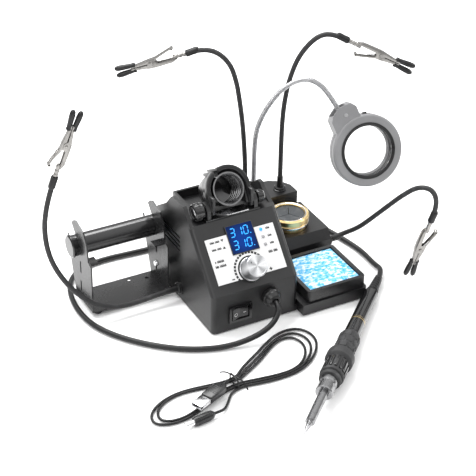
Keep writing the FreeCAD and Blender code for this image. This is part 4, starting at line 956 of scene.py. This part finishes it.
# ---------------------------------------------------------------- flexible necks and clips
ARMS = {
    1: {"base": (-48, 10.5, 14), "way": (-1, 0, 0),
        "lower": [(-72, 10.5, 13.5), (-98, 10, 11), (-122, 10, 13), (-144, 13, 23), (-162, 20, 42),
                  (-175, 25, 66), (-181, 28, 88)],
        "upper": [(-182, 30, 111), (-179.5, 30, 130), (-174, 29, 152), (-169, 27, 168)],
        "tip": (-150, 15, 232), "side": (-1, 0.3, -0.3)},
    2: {"base": (66, 85, 57), "way": (0, 0, 1),
        "lower": [(66, 85, 84), (65, 86, 112), (63, 87, 140), (60, 88.5, 166)],
        "upper": [(57, 90, 187), (51, 93, 208), (38, 100, 222), (22, 109, 223), (12, 115, 218)],
        "tip": (-42, 142, 200), "side": (0.2, 0, 1)},
    3: {"base": (102, 73, 57), "way": (0, 0, 1),
        "lower": [(102, 73, 84), (102, 73, 112), (102.5, 73, 140)],
        "upper": [(104, 72, 164), (108, 70, 190), (116, 65, 217), (132, 57, 238), (147, 49, 239),
                  (159, 42, 232)],
        "tip": (204, 18, 208), "side": (-0.3, 0, -1)},
    4: {"base": (126, 12, 20), "way": (1, 0, 0),
        "lower": [(144, 10, 24), (151, -8, 39), (155, -28, 62), (160, -46, 84)],
        "upper": [(166, -62, 104), (173, -78, 121), (181, -93, 123), (184, -98, 106), (181, -93, 86)],
        "tip": (173, -77, 20), "side": (0.8, -0.3, 0)},
}
MAGNIFIER = {"lower": [(68, 70, 84), (68, 70, 112), (69, 69, 138), (76, 65, 160)],
             "upper": [(87, 58, 182), (100, 52, 194), (115, 46, 198), (128, 41, 190), (138, 36, 175)]}
HEAD_CENTRE = mm(168, 12, 119)
HEAD_HINGE = (-25, 43, 0)


def neck(number, spec):
    start = Vector(spec["base"])
    outward = Vector(spec["way"]).normalized()
    route = [tuple(start + outward * 4)] + spec["lower"] + spec["upper"]
    mesh = swept(f"neck_{number}", route, 2.6, 5)
    tube = piece(f"arm_{number}_sleeving", mesh, "neck", None, 60)
    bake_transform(tube)
    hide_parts(f"arm_{number}_lower", f"arm_{number}_upper")
    root = lathe([(2.4, 0.2), (3.5, 0.2), (3.6, 0.8), (3.5, 2), (3.3, 9), (3.25, 15), (2.9, 16.2),
                  (2.4, 16.4)], 32)
    shaped(f"arm_{number}_root", root, stand(start * MM, outward), "shrink", f"arm_{number}_stem")
    last = Vector(spec["upper"][-1])
    heading = (last - Vector(spec["upper"][-2])).normalized()
    cap = lathe([(2.2, -13.6), (2.8, -13.5), (3.4, -12.6), (3.6, -11.5), (3.55, -6), (3.65, -2),
                 (3.5, -0.3), (3.1, 0), (1.6, 0), (1.6, -3)], 32)
    shaped(f"arm_{number}_cap", cap, stand(last * MM, heading), "shrink", f"arm_{number}_neck")
    return last, heading


def clip_place(start, tip, side):
    x = (Vector(tip) - Vector(start)).normalized()
    z = x.cross(Vector(side)).normalized()
    y = z.cross(x)
    place = Matrix((x, y, z)).transposed().to_4x4()
    place.translation = Vector(start) * MM
    return place


def channel(stations, thick=0.7):
    """A folded sheet channel along X from (x, width, back, lips) stations; back and lips are heights."""
    form = bmesh.new()
    rings = []
    for x, wide, back, lips in stations:
        half = wide / 2
        inner = half - thick
        floor = back + thick * (1 if lips > back else -1)
        spots = [(lips, -half), (back, -half), (back, half), (lips, half), (lips, inner), (floor, inner),
                 (floor, -inner), (lips, -inner)]
        rings.append([form.verts.new(mm(x, y, z)) for y, z in spots])
    for low, high in zip(rings, rings[1:]):
        for i in range(8):
            j = (i + 1) % 8
            form.faces.new([low[i], low[j], high[j], high[i]])
    for ring in (rings[0], rings[-1]):
        form.faces.new(ring[0:2] + ring[6:8])
        form.faces.new([ring[1], ring[2], ring[5], ring[6]])
        form.faces.new(ring[2:6])
    bmesh.ops.recalc_face_normals(form, faces=form.faces[:])
    return form


def boot(sign):
    """A dipped rubber boot over one jaw's end."""
    low = mm(53, sign * 2.5, 0)
    way = Vector((20, sign * 1.3, 0))
    sides = [(0, 0.6), (1.6, 0.4), (2.5, 0), (2.75, 0.3), (2.8, 1.2), (2.6, 2.2), (2.45, 3.4), (2.6, 7),
             (2.9, 14), (2.85, 17.4), (2.4, 19.8), (1.5, 21.2), (0, 21.8)]
    return mesh_of("boot", lathe(sides, 32), stand(low, way))


def spring():
    turns, steps = 4.5, 16
    count = int(turns * steps)
    coil = [(36 + 2.1 * math.cos(2 * math.pi * i / steps), 2.1 * math.sin(2 * math.pi * i / steps),
             -2.2 + 4.4 * i / count) for i in range(count + 1)]
    legs = [[(22, -3.6, -2.2), (30, -3.0, -2.2)], [(30, 2.8, 2.2), (24, 5.6, 2.2)]]
    return swept("spring", legs[0] + coil + legs[1], 0.38, 2)


def clip(number, spec, last, heading):
    place = clip_place(last + heading * 0.3, spec["tip"], spec["side"])
    fixed = [(10.5, 5, -2.7, -1.2), (15, 6.4, -4.4, -1.0), (30, 7, -4.8, -0.9), (32, 7, -4.8, 2.0),
             (33, 7, -4.8, 2.5), (37.5, 7, -4.7, 2.6), (39, 7, -4.5, 2.0), (41, 6.6, -4.2, -0.5),
             (50, 5.4, -3.0, -0.4), (58, 4.4, -2.1, -0.35)]
    moving = [(12.6, 4.4, 10.9, 10.1), (13.4, 5.2, 10.7, 9.2), (17, 5.6, 9.7, 8.2), (24, 5.5, 7.4, 5.8),
              (31, 5.4, 5.2, 3.2), (32.4, 5.4, 5.0, -1.6), (33.4, 5.4, 4.9, -2.2), (37.5, 5.4, 4.7, -2.3),
              (39, 5.4, 4.5, -1.8), (41, 5.3, 4.2, 0.5), (50, 4.8, 3.0, 0.4), (58, 4.0, 2.1, 0.35)]
    ferrule = [(1.5, 0), (2.2, 0), (2.4, 0.5), (2.3, 3), (1.9, 4), (2.3, 5), (2.3, 7.5), (1.9, 8.5),
               (2.3, 9.5), (2.5, 12.5), (2.2, 13.6), (0.8, 13.6)]
    along = stand((0, 0, 0), (1, 0, 0), (0, 1, 0))
    parts = [mesh_of("jaw", channel(fixed), None, 0.18), mesh_of("ferrule", lathe(ferrule, 28), along)]
    parts.append(mesh_of("bridge", block(6.5, 1.2, 4.2, (12.6, -2.4, 0)), None, 0.2))
    rivet = lathe([(0, -4.5), (1.1, -4.45), (1.6, -4.1), (1.7, -3.6), (1.0, -3.55), (1.0, 3.55),
                   (1.7, 3.6), (1.6, 4.1), (1.1, 4.45), (0, 4.5)], 24)
    parts.append(mesh_of("rivet", rivet, Matrix.Translation(mm(36, 0, 0))))
    teeth = bmesh.new()
    for i in range(6):
        slab([(46 + 1.8 * i, -0.75), (47.6 + 1.8 * i, -0.75), (46.8 + 1.8 * i, 0.05)], 3.2, teeth, -1.6)
    parts.append(mesh_of("teeth", teeth))
    body = joined(f"clip_{number}", *parts)
    body.transform(place)
    made = piece(f"clip_{number}_jaw", body, "clip", f"arm_{number}_grip", 30)
    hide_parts(f"arm_{number}_clip")
    wire = spring()
    wire.transform(place)
    piece(f"clip_{number}_spring", wire, "zinc", f"arm_{number}_grip", 60)
    arm = [mesh_of("lever", channel(moving, 0.6), None, 0.15)]
    curl = lathe([(1.0, -2.5), (1.7, -2.5), (1.7, 2.5), (1.0, 2.5)], 20)
    arm.append(mesh_of("curl", curl, Matrix.Translation(mm(12.4, 9.6, 0))))
    pads = bmesh.new()
    for i in range(8):
        block(0.9, 0.5, 4.4, (15.6 + 1.9 * i, 10.25 - 0.62 * i, 0), pads)
    arm.append(mesh_of("pads", pads, None, 0.15))
    lever = joined(f"lever_{number}", *arm)
    lever.transform(place)
    made = piece(f"clip_{number}_lever", lever, "clip", f"arm_{number}_jaw", 30)
    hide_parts(f"arm_{number}_lever")
    for sign, part, body_name in ((-1, "low", "grip"), (1, "high", "jaw")):
        cover = boot(sign)
        cover.transform(place)
        piece(f"clip_{number}_boot_{part}", cover, "boot", f"arm_{number}_{body_name}", 60)


def helping_arms():
    for number, spec in ARMS.items():
        last, heading = neck(number, spec)
        clip(number, spec, last, heading)


def head_place():
    turn, rise = math.radians(-10), math.radians(20)
    z = Vector((math.sin(turn) * math.cos(rise), -math.cos(turn) * math.cos(rise), math.sin(rise)))
    x = Vector((math.cos(turn), math.sin(turn), 0))
    place = Matrix((x, z.cross(x), z)).transposed().to_4x4()
    place.translation = HEAD_CENTRE
    return place


def magnifier():
    place = head_place()
    hinge = place @ mm(*HEAD_HINGE) / MM
    route = [(68, 70, 58)] + MAGNIFIER["lower"] + MAGNIFIER["upper"] + [tuple(hinge)]
    core = swept("neck_core", route, 2.05, 4)
    coil = ringed("neck_coil", route, 1.5, 2.15, 0.62, "coil")
    tube = piece("magnifier_gooseneck", joined("magnifier_gooseneck", core, coil), "coil", None,
                 60)
    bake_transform(tube)
    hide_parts("mag_lower", "mag_upper")
    root = lathe([(2.6, 0.2), (3.4, 0.2), (3.5, 1), (3.3, 9), (3.2, 15), (2.7, 16.2)], 32)
    shaped("magnifier_root", root, stand(mm(68, 70, 57), UP), "shrink", "mag_stem")
    rim = lathe([(26.0, 7.2), (29.2, 7.3), (29.6, 7.9), (29.2, 8.3), (28.0, 8.3), (26.0, 7.6)], 96)
    shaped("lens_rim", rim, place, "satin", "mag_light")
    chips = studded("lamp_chips", 10, 1, 27.4, 1, (0.7, 3.0, 2.2), "label",
                    place @ Matrix.Translation(mm(0, 0, 4.6)), 0.2)
    piece("lamp_chips", chips, "label", "mag_light")
    seam = lathe([(38.0, -0.25), (38.12, -0.2), (38.12, 0.2), (38.0, 0.25), (37.6, 0.2), (37.6, -0.2)], 96)
    shaped("head_seam", seam, place, "satin", "mag_light")
    cap = lathe([(0, 7.0), (2.2, 7.0), (2.4, 6.6), (2.4, 5.8), (0, 5.8)], 24)
    screw = mesh_of("head_screw", cap, place @ Matrix.Translation(mm(-21, 40, 0)))
    piece("head_screw", screw, "zinc", "mag_light")


helping_arms()
magnifier()


# ---------------------------------------------------------------- sponge, pot, holder, iron
def sponge():
    """A crowned pad with soft corners and a torn-cell surface, in the tray."""
    low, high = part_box("sponge")
    size = [(b - a) / MM for a, b in zip(low, high)]
    centre = (Vector(low) + Vector(high)) / 2
    form = bmesh.new()
    bmesh.ops.create_cube(form, size=1, matrix=Matrix.Diagonal((*[part * MM for part in size], 1)))
    bmesh.ops.bevel(form, geom=form.edges[:], offset=1.6 * MM, segments=3, affect="EDGES", profile=0.6)
    bmesh.ops.subdivide_edges(form, edges=[e for e in form.edges if e.calc_length() > 0.02], cuts=40,
                              use_grid_fill=True)
    half = size[0] / 2 * MM
    for v in form.verts:
        if v.co.z > 0:
            reach = max(abs(v.co.x), abs(v.co.y)) / half
            ripple = math.sin(v.co.x * 900) * math.sin(v.co.y * 760 + 1) + math.sin((v.co.x + v.co.y) * 430)
            v.co.z += (1 - reach ** 4) * 0.35 * MM + ripple * 0.07 * MM
    pad = shaped("tray_sponge", form, Matrix.Translation(centre), "foam", "tray",
                 sharp=60)
    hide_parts("sponge")


def pot_trim():
    at = Matrix.Translation(mm(*POT_CENTRE))
    inner = lathe([(16.85, 50.0), (17.6, 52.15), (18.3, 52.4), (18.6, 52.1), (18.2, 51.9),
                   (17.2, 49.6)], 72)
    shaped("pot_inner_ring", inner, at, "chrome", "wool_pot")
    band = lathe([(20.2, 42.2), (21.3, 42.3), (21.5, 43.0), (21.3, 43.7), (20.2, 43.8)], 72)
    shaped("pot_band", band, at, "chrome", "wool_pot")


def holder_trim():
    """Knurled grips and bright caps on the two screw heads."""
    for sign, side, radius, out in ((-1, "left", 8.6, 35.5), (1, "right", 6.2, 33.5)):
        place = stand(mm(sign * out, -3, 108), (sign, 0, 0))
        grips = studded(f"thumb_grips_{sign}", 20, 1, radius, 1, (0.8, 1.3, 5.6), "gloss", place, 0.25)
        piece(f"thumb_grips_{side}", grips, "gloss", "clamp_bolt")
        neck_in = radius * 0.62
        cap = lathe([(0, 4.2), (neck_in, 4.2), (radius * 0.7, 4.6), (neck_in, 5.0), (0, 5.1)], 40)
        shaped(f"thumb_cap_{side}", cap, place, "chrome", "clamp_bolt")


def arch(stations, first, last, steps=14):
    """Part of a hood about Z, from one angle to another, through (height, outer, inner, leg) stations.
    An angle of 180 or 0 degrees also gets a straight leg, leg mm long."""
    form = bmesh.new()
    rings = []
    for height, outer, inner, leg in stations:
        spots = []
        for radius, ends in ((outer, (first, last)), (inner, (last, first))):
            arc = [(radius * math.cos(math.radians(ends[0] + (ends[1] - ends[0]) * i / steps)),
                    radius * math.sin(math.radians(ends[0] + (ends[1] - ends[0]) * i / steps)))
                   for i in range(steps + 1)]
            if ends[0] in (0, 180):
                arc.insert(0, (arc[0][0], -leg))
            if ends[1] in (0, 180):
                arc.append((arc[-1][0], -leg))
            spots += arc
        rings.append([form.verts.new(mm(x, y, height)) for x, y in spots])
    count = len(rings[0])
    for low, high in zip(rings, rings[1:]):
        for i in range(count):
            j = (i + 1) % count
            form.faces.new([low[i], low[j], high[j], high[i]])
    for ring in (rings[0], rings[-1]):
        for i in range(count // 2 - 1):
            form.faces.new([ring[i], ring[i + 1], ring[-2 - i], ring[-1 - i]])
    bmesh.ops.recalc_face_normals(form, faces=form.faces[:])
    return form


def holder_hood():
    """The slotted hood over the iron's rest: an arch on two legs that narrows towards its tail."""
    place = stand(mm(*HOLDER_MOUTH), (0, -math.cos(HOLDER_RISE), math.sin(HOLDER_RISE)), (1, 0, 0))
    front = [(0.3, 23.2, 20.6, 17), (0, 23.8, 19.8, 18), (-1, 24, 19.2, 18), (-3.4, 24, 18.6, 18),
             (-4.2, 23.9, 17.1, 18), (-7, 23.6, 17.0, 18), (-8.4, 21.2, 17.0, 17), (-20, 20.4, 17.0, 15),
             (-28, 19.0, 16.9, 12)]
    back = [(-27.6, 19.0, 16.9, 12), (-32, 17.8, 14.8, 9), (-40, 15.4, 12.2, 6), (-44, 14.2, 11.6, 4)]
    parts = [mesh_of("hood_left", arch(front, 180, 125), place, 0.25),
             mesh_of("hood_right", arch(front, 110, 0, 26), place, 0.25),
             mesh_of("hood_back", arch(back, 180, 0, 36), place, 0.25)]
    lips = bmesh.new()
    for angle in (125, 110):
        x, y = 21.8 * math.cos(math.radians(angle)), 21.8 * math.sin(math.radians(angle))
        block(1.0, 3.4, 25, (x, y, -13), lips)
    parts.append(mesh_of("hood_lips", lips, place, 0.2))
    hood = piece("holder_hood", joined("holder_hood", *parts), "satin", "iron_holder", 30)
    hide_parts("holder_barrel")
    lugs = bmesh.new()
    for sign in (-1, 1):
        slab([(-12, 105), (-9, 103.6), (4, 103.6), (12, 108), (8, 122), (-12, 124)], 3.2, lugs,
             19.6 if sign > 0 else -22.8)
    turn = Matrix(((0, 0, 1, 0), (1, 0, 0, 0), (0, 1, 0, 0), (0, 0, 0, 1)))
    shaped("holder_lugs", lugs, turn, "satin", "iron_holder", 0.5)


def iron_trim():
    place = stand(IRON_FLANGE, IRON_WAY)

    def along(x):
        return place @ Matrix.Translation(mm(0, 0, x))

    body = [(0, -38.6), (9.4, -38.6), (10.4, -38.2), (10.8, -37.2), (10.8, -35), (9.8, -34.2), (9.8, -32.6),
            (11.4, -32), (11.9, -31), (11.9, -29.4), (11.2, -28.4), (10.6, -28), (10.6, -9), (11.4, -8),
            (13.0, -7.2), (13.7, -6.2), (13.8, -5), (13.8, 2.6), (13.5, 3.8), (12.6, 4.6), (11.2, 5.4),
            (10.3, 6.4), (10.0, 8), (9.9, 12), (10.2, 20), (10.3, 26), (10.0, 33), (9.4, 38.5), (8.9, 40.5),
            (8.3, 41), (0, 41)]
    grip = shaped("iron_grip_sleeve", lathe(body, 72), place, "grip", "iron", sharp=30)
    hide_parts("iron_grip")
    pads = studded("grip_pads", 8, 3, 10.0, 9.8, (1.0, 6.2, 7.8), "grip", along(13), 0.45)
    piece("grip_pads", pads, "grip", "iron")
    slots = studded("collar_slots", 14, 1, 11.1, 1, (1.6, 2.6, 17), "gloss", along(-18.5), 0.5)
    piece("collar_lugs", slots, "gloss", "iron")
    bands = bmesh.new()
    for low, wide in ((64, 1.2), (67.2, 0.7)):
        radius = 8.16 - (low - 60) * 0.0167 + 0.03
        inner, top = radius - 0.4, low + wide
        lathe([(inner, low), (radius, low), (radius, top), (inner, top)], 48, bands)
    shaped("handle_bands", bands, along(0), "gold", "iron")
    line = [tuple((place @ mm(0, 0, IRON_REACH + 1 + t)) / MM) for t in (0, 3)]
    rings = ringed("relief_rings", line, 2.0, 5.7, 0.5, "shrink")
    piece("relief_rings", rings, "shrink", "iron")


sponge()
pot_trim()
holder_trim()
holder_hood()
iron_trim()
